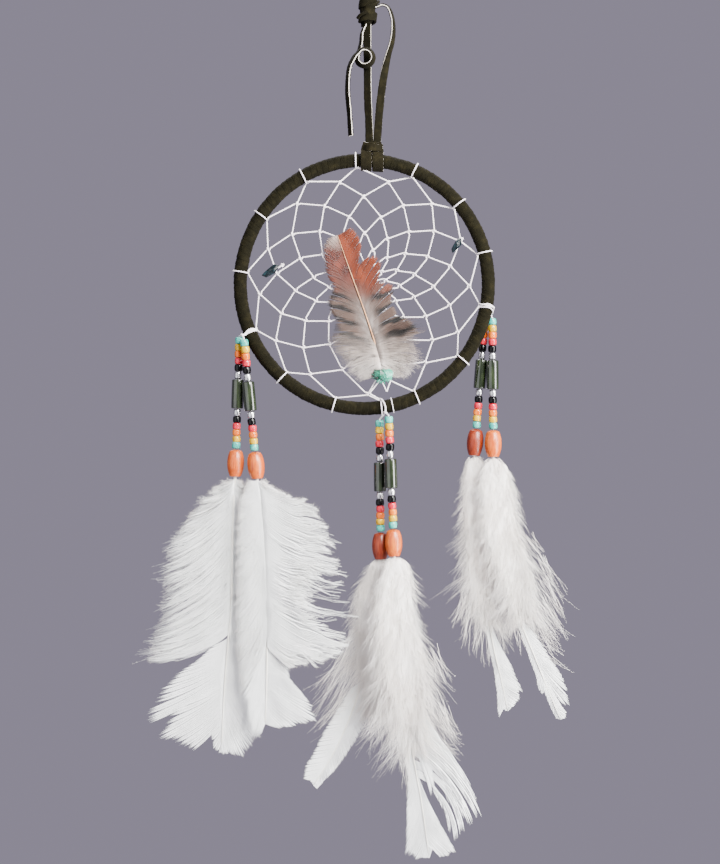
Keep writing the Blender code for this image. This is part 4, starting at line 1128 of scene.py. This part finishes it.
    # long separate barbs below and at the sides
    loose, lf = Geo(), Geo()
    for wi, (u0, v0, u1, v1, cnt, fan, sag) in enumerate(wisps):
        cnt = tuned(cnt) if cnt > 20 else cnt
        r = np.random.default_rng(seed + 50 + wi)
        a0 = np.array(at(u0, v0, 0)) + r.normal(size=(cnt, 3)) * np.array([1.8, 0.6, 2.6])
        depth = np.interp(a0[:, 2], z[::-1], y[::-1]) + r.normal(size=cnt) * 0.8
        a0[:, 1] = depth
        b0 = np.array(at(u1, v1, 0)) + r.normal(size=(cnt, 3)) * np.array([fan, 0.0, fan * 0.8])
        b0[:, 1] = depth + r.normal(size=cnt) * 1.2
        shrinkk = r.uniform(0.6, 1.0, (cnt, 1))
        b0 = a0 + (b0 - a0) * shrinkk
        mid = (a0 + b0) / 2 + np.array([0, 0, -1.0]) * sag * (0.6 + 0.5 * r.random((cnt, 1)))
        t9 = np.linspace(0, 1, 9)[None, :, None]
        C = (1 - t9) ** 2 * a0[:, None] + 2 * t9 * (1 - t9) * mid[:, None] + t9 ** 2 * b0[:, None]
        C = C + (np.stack([waves(C.reshape(-1, 3), 7.0, seed + 70 + wi + q) for q in range(3)], -1) * 0.35
                 ).reshape(C.shape) * t9
        hair(loose, C, 0.10, 0.035)
        barbules(lf, C, 0.2, 12, 1.1, 0.028, seed + 90 + wi)
    if wisps:
        build(name + "_loose_barbs", loose, [DOWN], body)
        build(name + "_loose_fuzz", lf, [DOWN], body, flat=True)

    # the cut vane at the tip, with its shaft
    sh = Shaft(shaft)
    quill_piece(name + "_quill", sh, body, 0.5, 0.12, lead=strand_end(name, 62.0))
    vane = Geo()
    for k2, (lobe, cnt, *arch) in enumerate(tails):
        arch = arch[0] if arch else 0.07
        lobe = [q if len(q) == 4 else (*q, 0.98) for q in lobe]
        C, full, _ = barb_lines(sh, lobe, tuned(cnt), m=12, bend=arch, camber=0.8, seed=seed + 30 + k2, rag=0.012,
                                clump=0.35, ripple=0.4, groups=(3, 9), ragged=0.018)
        ribbons(vane, C, full - 0.13, 1.6, tilt=0.05, top=1.1, thin=0.06)
    build(name + "_vane", vane, [WHITE], body)


fluffy("centre_back",
       [(558, 375, 387, -1.8, 0.9), (563, 370, 391, -1.2, 1.5), (573, 364.5, 396, .6, 2.3), (593, 352, 400, 2.6, 2.9),
        (629, 348, 404, 3.6, 3.2), (661, 343, 404, 3.8, 3.2), (688, 352, 398, 3.8, 3.0), (702, 362, 388, 3.6, 2.4),
        (718, 366, 380, 3.4, 1.2)],
       [(380.5, 560, -1.8), (374, 580, 0.8), (368, 620, 3.4), (366, 660, 3.8), (358, 695, 3.5), (345, 730, 3.0),
        (330, 760, 2.8), (313.5, 786, 2.8)],
       7000, 2000, side_len=(2.2, 6.4), sides=(0.8, 0.9),
       wisps=[(352, 640, 318, 700, 16, 4, 3.0), (350, 650, 312, 722, 14, 4, 4.0), (352, 665, 324, 735, 14, 4, 3.0),
              (348, 690, 313, 738, 18, 3, 2.0), (350, 655, 306, 690, 6, 4, 2.0)],
       tails=[([(.52, 350, 690), (.58, 343, 701), (.65, 334.5, 714), (.73, 322, 735), (.80, 314.8, 750),
                (.86, 307, 763), (.90, 303.9, 771.4), (.94, 302.9, 780.3), (.975, 309.8, 781.3), (1.0, 313.2, 786.5)], 150),
              ([(.50, 364, 700), (.56, 368.5, 712), (.62, 367, 722), (.69, 356.3, 740), (.77, 346.4, 755.6),
                (.84, 337.5, 769.4), (.92, 326.6, 779.3), (.97, 316.7, 790.2), (1.0, 314, 787)], 150)])
fluffy("centre_front",
       [(556, 388, 400, -8.2, 1.1), (561, 384, 409, -9.0, 1.8), (573, 378, 414, -10.4, 2.4), (585, 374, 417, -11.4, 2.8),
        (609, 370, 418, -12.6, 3.2), (629, 368, 425, -13.2, 3.4), (650, 368, 434, -13.4, 3.4), (680, 370, 441, -13.4, 3.4),
        (706, 373, 443, -13.3, 3.0), (726, 380, 442, -13.0, 2.2), (746, 398, 434, -12.6, 1.2)],
       [(394, 556, -8.2), (396, 580, -10.6), (398, 620, -12.8), (402, 670, -13.4), (408, 720, -13.2), (414, 760, -12.4),
        (421, 800, -12), (428, 850, -12)],
       7600, 2200, side_len=(1.2, 5.6), sides=(0.9, 0.65),
       wisps=[(384, 700, 366, 737, 26, 3.5, 0.0), (392, 715, 392, 755, 16, 3.0, 0.0), (404, 735, 401, 772, 20, 2.0, 0.0),
              (408, 745, 405, 792, 12, 1.5, 0.0), (440, 705, 452, 733, 26, 3.0, 1.0), (438, 715, 462, 742, 8, 3.0, 1.0),
              (430, 650, 446, 682, 16, 2.5, -1.0), (432, 735, 458, 752, 16, 3.0, 1.0)],
       tails=[([(.58, 398, 742, .7), (.63, 404, 757, .9), (.69, 407.5, 775), (.75, 405.7, 806), (.82, 404.7, 846.6),
                (.86, 407.7, 852.5), (.90, 411, 849), (.93, 415, 854), (.97, 421.5, 852.5), (1.0, 427.5, 853)], 150),
              ([(.62, 424, 790), (.66, 428.5, 799), (.72, 433.4, 808), (.78, 441.3, 823), (.84, 449.2, 837),
                (.89, 454.2, 846.6), (.92, 447, 850), (.95, 439.3, 852.5), (.965, 432, 843), (1.0, 428.5, 853)], 130),
              ([(.48, 424, 742), (.53, 431, 765), (.58, 434, 780), (.61, 430, 792)], 50, -0.05),
              ([(.71, 433, 789), (.718, 441, 803), (.724, 447, 817), (.73, 451.2, 834.7), (.735, 456, 832)], 26, -0.28),
              ([(.68, 446, 796), (.688, 455, 808), (.694, 459.5, 817), (.70, 464.5, 828), (.705, 460, 832)], 22, -0.28),
              ([(.66, 456, 803), (.64, 468, 822), (.63, 474, 815), (.61, 478, 809), (.58, 476, 797),
                (.55, 470, 781), (.52, 463, 775, .8), (.49, 452, 764, .7), (.46, 443, 752, .7)], 44, -0.17)])
fluffy("right_back",
       [(456, 469, 482, 7.5, 1.1), (462, 466, 486, 7.9, 1.6), (470, 463, 490, 8.2, 2.0), (489, 461, 496, 9.0, 2.5),
        (532, 459, 500, 10.2, 2.8), (562, 460, 503, 10.4, 2.8), (578, 459, 505, 10.4, 2.8), (594, 460, 506, 10.2, 2.5),
        (610, 466, 506, 9.9, 1.9), (626, 479, 502, 9.4, 1.0)],
       [(475, 456, 7.5), (478, 480, 8.8), (484, 540, 10.2), (488, 600, 10.2), (494, 645, 9.4), (502, 680, 9), (509, 713, 9)],
       6400, 2400, side_len=(1.2, 5.0), front_len=2.6, sides=(0.4, 1.0),
       wisps=[(466, 600, 457, 628, 14, 2.5, 0.0), (470, 612, 463, 652, 12, 2.0, 0.0), (478, 625, 475, 660, 12, 2.0, 0.0),
              (488, 632, 487, 668, 10, 1.5, 0.0), (498, 625, 508, 655, 10, 2.5, 0.0)],
       tails=[([(.60, 487, 634), (.70, 491, 655), (.78, 494.9, 672), (.86, 498.4, 698), (.92, 498.6, 714),
                (.955, 500.2, 720.2), (.97, 502.5, 715), (.98, 503.5, 709.9), (.99, 507, 713.5), (1.0, 508.6, 713)], 110),
              ([(.60, 497, 638), (.68, 503.5, 651), (.75, 512.5, 667), (.82, 520, 685), (.855, 525.1, 695.2),
                (.88, 520.5, 691.5), (.91, 520.8, 702), (.96, 515.5, 708), (1.0, 509.4, 713)], 110)])
fluffy("right_front",
       [(458, 487, 501, 3.4, 1.0), (464, 483, 507, 3.3, 1.4), (472, 479, 512, 3.2, 1.7), (489, 477, 518, 3, 2),
        (507, 477, 520, 3, 2.1), (527, 477, 525, 3, 2.1), (541, 478, 530, 3, 2.1), (558, 481, 538, 3, 2.1),
        (576, 486, 544, 3, 2.1), (592, 491, 546, 3, 2.0), (606, 499, 544, 3, 1.7), (622, 515, 540, 3, 1.0)],
       [(493.7, 458, 3.4), (495, 490, 3.0), (500, 540, 3), (510, 590, 3), (524, 630, 3), (537, 662, 3), (549, 692, 3),
        (561, 720, 3)],
       6800, 2600, side_len=(1.4, 5.6), front_len=2.6, sides=(0.8, 0.9),
       wisps=[(540, 560, 562, 600, 14, 2.5, -1.5), (544, 580, 567, 620, 14, 2.5, -1.5), (543, 600, 566, 640, 14, 2.5, -1.0),
              (535, 615, 558, 650, 14, 2.5, 0.0), (538, 630, 560, 660, 10, 2.5, 0.0), (530, 540, 545, 556, 10, 2.0, 0.0),
              (520, 628, 524, 655, 12, 2.0, 0.0), (545, 650, 572, 674, 3, 1.0, 1.0)],
       tails=[([(.60, 518, 626), (.70, 527.7, 653), (.77, 536.3, 677), (.81, 538.9, 691), (.83, 542.3, 696.1),
                (.85, 545, 693), (.89, 551.8, 710), (.94, 556.9, 720.2), (1.0, 560.6, 720)], 90),
              ([(.72, 540, 665), (.78, 547, 679), (.84, 555, 694), (.90, 563, 708), (.93, 567.3, 713.3),
                (.965, 566.4, 719.3), (1.0, 561.4, 720)], 60),
              ([(.58, 536, 634, .8), (.62, 541.4, 643, .9), (.67, 551.8, 660), (.71, 562, 675.4), (.74, 568, 691),
                (.755, 569.9, 708), (.765, 563.8, 706.4), (.77, 558, 694)], 70)])


# ------------------------------------------------- small feather woven into the web
WF = Shaft([(383, 374, -2.2), (379, 358, -2.3), (375.5, 345.4, -2.4), (367.8, 321.2, -2.5), (359.6, 297.6, -2.5),
            (348.9, 268.1, -2.4), (337.7, 236.2, -2.2)])
WF_LEFT = [(.02, 371.4, 378, .5), (.06, 361.9, 380.2, .45), (.10, 350.1, 371.9, .45), (.13, 345.4, 360.1, .45),
           (.17, 337.1, 350.7, .5), (.24, 332.4, 337.7, .6), (.33, 336, 321.2, .8), (.36, 330, 312, .9),
           (.39, 328.4, 306, .95), (.43, 327.7, 300, .95), (.47, 331.2, 294, .95), (.50, 333.6, 286, .95),
           (.54, 328.5, 279, .95), (.60, 325.3, 271.6, .95), (.68, 324.2, 257, .95), (.75, 323.6, 246.5, .95),
           (.82, 327.7, 239, .95), (.92, 333, 236.5, .95), (1.0, 337.7, 235.6, .95)]
WF_RIGHT = [(.02, 385.5, 376, .5), (.05, 397.3, 377.5, .45), (.08, 406.8, 376.7, .45), (.11, 413.8, 368.4, .45),
            (.14, 417.4, 357.8, .5), (.17, 415, 348.3, .55), (.20, 411.5, 336, .7), (.22, 419.7, 333, .85),
            (.26, 410.3, 319.5, .9), (.31, 397.3, 315.3, .9), (.36, 391, 297, .9), (.385, 394.4, 290.5, .95),
            (.41, 392.6, 284.6, .95), (.45, 383.2, 282.3, .95), (.47, 377.3, 281.1, .95), (.50, 380.8, 271.6, .95),
            (.54, 381.4, 262.2, .95), (.58, 376.1, 256.3, .95), (.62, 369, 256.3, .95), (.655, 361.9, 262.2, .95),
            (.67, 357.5, 265, .95), (.70, 359.6, 256.3, .95), (.76, 361.9, 245.7, .95), (.83, 358.4, 236.2, .95),
            (.90, 351.3, 227.5, .95), (.96, 345.4, 231.5, .95), (1.0, 338.5, 235.6, .95)]


def rust_tints(C, side, seed):
    """Rust above, greyer with dark cross bars in the middle, cream at the foot."""
    p = C.reshape(-1, 3)
    u, v = p[:, 0] / STEP + 371, -p[:, 2] / STEP - 45
    mid = np.interp(v, (236, 268, 298, 321, 345, 374), (337.7, 348.9, 359.6, 367.8, 375.5, 383))
    off = np.abs(u - mid)
    rust, salmon = np.array(lin("#662402")), np.array(lin("#5a281c"))
    grey, olive, cream, white = (np.array(lin(h)) for h in ("#54423a", "#040302", "#b4a8a0", "#ece8e4"))
    f = lambda a, b, x: np.clip((x - a) / (b - a), 0, 1)[:, None]
    col = np.where(np.full((len(p), 1), side > 0), rust, salmon)
    patch = np.clip(waves(p * (1, 1, 0.4), 6.0, seed + 11, 8) * 1.1, -0.9, 0.9)[:, None]
    col = col * np.array([1.0, 1.0, 1.0]) * (1 + 0.38 * patch) + np.array([0.0, 0.004, 0.002]) * np.clip(patch, 0, 1)
    col = col + (grey - col) * f(280, 304, v + 6 * waves(p, 9, seed))
    near = np.clip(1 - off / 14, 0, 1)[:, None] * f(292, 322, v + 5 * waves(p, 6, seed + 12)) * 0.32
    col = col + (white - col) * near * (0.75 + 0.25 * np.sin(off * 1.1 + v * 0.5)[:, None])
    # dark bars curving down away from the shaft
    w = v + 0.35 * off + 3.0 * waves(p, 8, seed + 1)
    bar = np.clip(np.sin((w - 300) / 13.0 * TAU) * 2.6 + 0.1, 0, 1) * np.clip((off - 5) / 10, 0.15, 1) * np.clip((w - 293) / 10, 0, 1) * np.clip((358 - w) / 8, 0, 1)
    side_bars = 0.97 if side > 0 else 0.9
    col = col + (olive - col) * (bar * side_bars)[:, None]
    streak = np.clip(waves(p * (1, 1, 0.5), 3.4, seed + 6, 9) * 0.9, 0, 1)[:, None] * (1 - f(285, 300, v))
    col = col * (1 - 0.40 * streak)
    if side < 0:
        col = col + (cream - col) * (1 - f(238, 252, v + 3 * waves(p, 5, seed + 7))) * 0.7
    k = f(334, 352, v + 0.10 * off + 4 * waves(p, 6, seed + 2)) * (1 - 0.7 * bar[:, None])
    col = col + (cream - col) * k
    speck = np.clip(waves(p, 1.7, seed + 3, 14) * 4.5 - 1.3, 0, 1)[:, None] * k * (1 - 0.7 * f(362, 374, v))
    col = col + (white - col) * f(350, 372, v) * 0.6
    col = col + (grey * 0.25 - col) * np.clip(speck, 0, 1)
    return np.clip(col, 0, 1).reshape(C.shape)


vane, loose, tuft = Geo(), Geo(), Geo()
for side, lobe, cnt in ((-1, WF_LEFT, 210), (1, WF_RIGHT, 250)):
    C, full, ln = barb_lines(WF, lobe, tuned(cnt), m=10, bend=0.10, camber=-0.6, seed=1500 + side, rag=0.012, clump=0.3,
                             ripple=0.15)
    ribbons(vane, C, full, 1.75, thick=0.05, tilt=0.04, top=0.8, c=rust_tints(C, side, 21))
    for layer in range(2):
        C, full, ln = barb_lines(WF, [q for q in lobe if q[0] < 0.30], tuned(200), m=8, bend=0.12, camber=-1.0,
                                 seed=1520 + side + 3 * layer, rag=0.10, lift=-0.35 * layer, ripple=0.7)
        col = rust_tints(C, side, 25)
        hair(loose, C, 0.075, 0.03, c=col)
        barbules(tuft, C, 0.15, 8, 0.9, 0.03, 1540 + side + layer, c=col)
    C, full, ln = barb_lines(WF, lobe, tuned(160), m=8, bend=0.12, camber=-0.8, seed=1560 + side, rag=0.035, ripple=0.3)
    hair(loose, C, 0.07, 0.03, c=rust_tints(C, side, 27))
build("web_feather_vane", vane, [RUST], "hoop", ["web_feather"], tint=True)
build("web_feather_loose_barbs", loose, [RUST], "hoop", tint=True)
build("web_feather_barbules", tuft, [RUST], "hoop", flat=True, tint=True)
geo = Geo()
p = resample(WF.p[::3], 90)
p[:, 1] += np.interp(np.linspace(0, 1, 90), (0, 0.14, 0.24, 1), (1.6, 1.2, -0.42, -0.35))
tube(geo, p, np.linspace(0.44, 0.12, 90), 10)
build("web_feather_quill", geo, [TAN], "hoop")


# --------------------------------------------------------- stone bead and two chips
def stone(name, centre, half, turn, seed, mat, stands, points=34, rough=0.10):
    rng = np.random.default_rng(seed)
    q = unit(rng.normal(size=(points, 3))) * rng.uniform(0.86, 1.12, (points, 1))
    q = q * np.array(half)
    a = math.radians(turn)
    R = np.array([[math.cos(a), 0, -math.sin(a)], [0, 1, 0], [math.sin(a), 0, math.cos(a)]])
    q = q @ R.T + np.array(centre)
    bm = bmesh.new()
    for c in q:
        bm.verts.new(c)
    bmesh.ops.convex_hull(bm, input=bm.verts[:])
    loose_v = [w for w in bm.verts if not w.link_faces]
    bmesh.ops.delete(bm, geom=loose_v, context="VERTS")
    bmesh.ops.bevel(bm, geom=bm.edges[:], offset=0.16, segments=2, profile=0.6, affect="EDGES")
    bmesh.ops.triangulate(bm, faces=bm.faces[:])
    bmesh.ops.subdivide_edges(bm, edges=bm.edges[:], cuts=1, use_grid_fill=True)
    bmesh.ops.triangulate(bm, faces=bm.faces[:])
    bm.verts.index_update()
    v = np.array([w.co for w in bm.verts])
    f = np.array([[w.index for w in face.verts] for face in bm.faces])
    bm.free()
    v = v + unit(v - np.array(centre)) * (waves(v, 1.0, seed, 10) * rough)[:, None]
    geo = Geo()
    geo.add(v, [f])
    return build(name, geo, [mat], "hoop", stands, recalc=True, sharp=24)


MINT = Shade("stone_mint", Coat_Weight=0.35, Coat_Roughness=0.2, Subsurface_Weight=0.1, Subsurface_Scale=0.0008)
n1, n2 = MINT.noise(2.2, 5, warp=0.6), MINT.noise(0.5, 4)
MINT = MINT.colour(MINT.mix(0.4, MINT.ramp(n1, [(0.32, "#0e7459"), (0.5, "#35a488"), (0.68, "#86d2be")]),
                            MINT.ramp(n2, [(0.3, "#157f63"), (0.6, "#48b498"), (0.8, "#a8e4d4")]))
                   ).rough(n2, 0.25, 0.5).bump(n2, 0.5, 0.15).mat
stone("web_stone_left_half", (3.8, -3.7, -205.0), (3.3, 2.8, 3.3), 8, 61, TEAL, ["web_bead"], 44, 0.22)
stone("web_stone_right_half", (7.6, -3.7, -205.4), (3.1, 2.6, 3.2), -14, 64, MINT, ["web_bead"], 44, 0.22)
rng = np.random.default_rng(66)
geo = Geo()
q = unit(rng.normal(size=(46, 3)) * (1.0, 0.6, 1.0))
spikes(geo, np.array([5.4, -3.7, -205.7]) + q * (4.0, 2.2, 2.7), unit(q + rng.normal(size=q.shape) * 0.3), rng.uniform(1.0, 2.2, 46), 0.45)
build("web_stone_slivers", geo, [MINT], "hoop", flat=True, recalc=True)
stone("left_dark_chip", (-48.5, -2.7, -154.4), (5.2, 1.5, 2.1), 32, 71, DARK, ["left_web_chip"], 20)
stone("right_dark_chip", (41.8, -2.6, -142.0), (4.5, 1.4, 1.8), 58, 74, DARK, ["right_web_chip"], 20)

# thread ends in a vee below the bead, and a small knot by each chip
geo = Geo()
for x0 in (5.4, 9.4):
    thread(geo, smooth([(x0, -1.4, -205.5), (x0, -2.6, -208.2), (x0 * 0.6 + 3.0, -3.9, -210.4), (7.6, -4.2, -213.4)], step=0.3),
           radius=0.30)
build("web_stone_thread", geo, [THREAD], "hoop")
for name, c, d in (("left_chip_thread", (-43.2, -1.9, -151.6), (2.4, 0, 1.6)), ("right_chip_thread", (44.2, -1.7, -138.8), (1.0, 0, 1.6))):
    geo = Geo()
    t = np.linspace(0, TAU, 90, endpoint=False)
    tre = np.stack([np.sin(t) + 2 * np.sin(2 * t), -1.1 * np.sin(3 * t), np.cos(t) - 2 * np.cos(2 * t)], -1) * 0.25
    thread(geo, np.array(c) + tre, radius=0.26, closed=True, step=0.2)
    a, b = np.array(c) + (0, 1.6, 0), np.array(c) - 0.9 * np.array(d)
    thread(geo, smooth([a, np.array(c), b], step=0.3), radius=0.34)
    build(name, geo, [THREAD], "hoop")


# --------------------------------------------------------------- light and a floor
world = bpy.data.worlds.new("soft_room")
scene.world = world
world.use_nodes = True
bg = next(n for n in world.node_tree.nodes if n.type == "BACKGROUND")
bg.inputs["Color"].default_value = (0.27, 0.245, 0.32, 1)
bg.inputs["Strength"].default_value = 1.0


def softbox(name, place, aim, size, power, colour=(1, 1, 1)):
    data = bpy.data.lights.new(name, "AREA")
    data.shape = "RECTANGLE"
    data.size, data.size_y = size
    data.energy = power
    data.color = colour
    ob = bpy.data.objects.new(name, data)
    scene.collection.objects.link(ob)
    ob.location = place
    d = np.array(aim, float) - np.array(place, float)
    from mathutils import Vector
    ob.rotation_euler = Vector(d).to_track_quat("-Z", "Y").to_euler()
    return ob


softbox("key", (0.45, -0.75, 0.25), (0, 0, -0.2), (0.40, 0.40), 36.0, (1.0, 0.985, 0.965))
softbox("strip", (0.55, -0.35, -0.25), (0, 0, -0.25), (0.26, 0.8), 15.0)
softbox("fill", (-0.8, -0.8, -0.1), (0, 0, -0.22), (1.2, 1.2), 7.0, (0.96, 0.97, 1.0))
softbox("top", (0.0, 0.35, 0.5), (0, 0, -0.15), (0.5, 0.4), 12.0)

s = Shade("pale_floor", Roughness=0.9)
n1, n2 = s.noise(60.0, 3), s.noise(6.0, 4)
PALE = s.colour(s.mix(0.3, s.ramp(n1, [(0.3, "#c9c5cf"), (0.7, "#d4d0d9")]), s.ramp(n2, [(0.3, "#c7c3cd"), (0.7, "#d6d2db")]))
                ).rough(n2, 0.8, 0.95).bump(n2, 0.05, 0.3).mat
geo = Geo()
th = np.arange(96) * TAU / 96
rings = [np.stack([r * np.cos(th), r * np.sin(th), np.full(96, z)], -1) for r, z in
         ((1180.0, -1112.0), (1200.0, -1108.0), (1200.0, -1102.0), (1196.0, -1100.0), (600.0, -1100.0), (1.0, -1100.0))]
geo.add(np.array(rings), [grid_faces(6, 96), np.arange(95, -1, -1)[None], (5 * 96 + np.arange(96))[None]])
floor = build("floor", geo, [PALE], recalc=True)
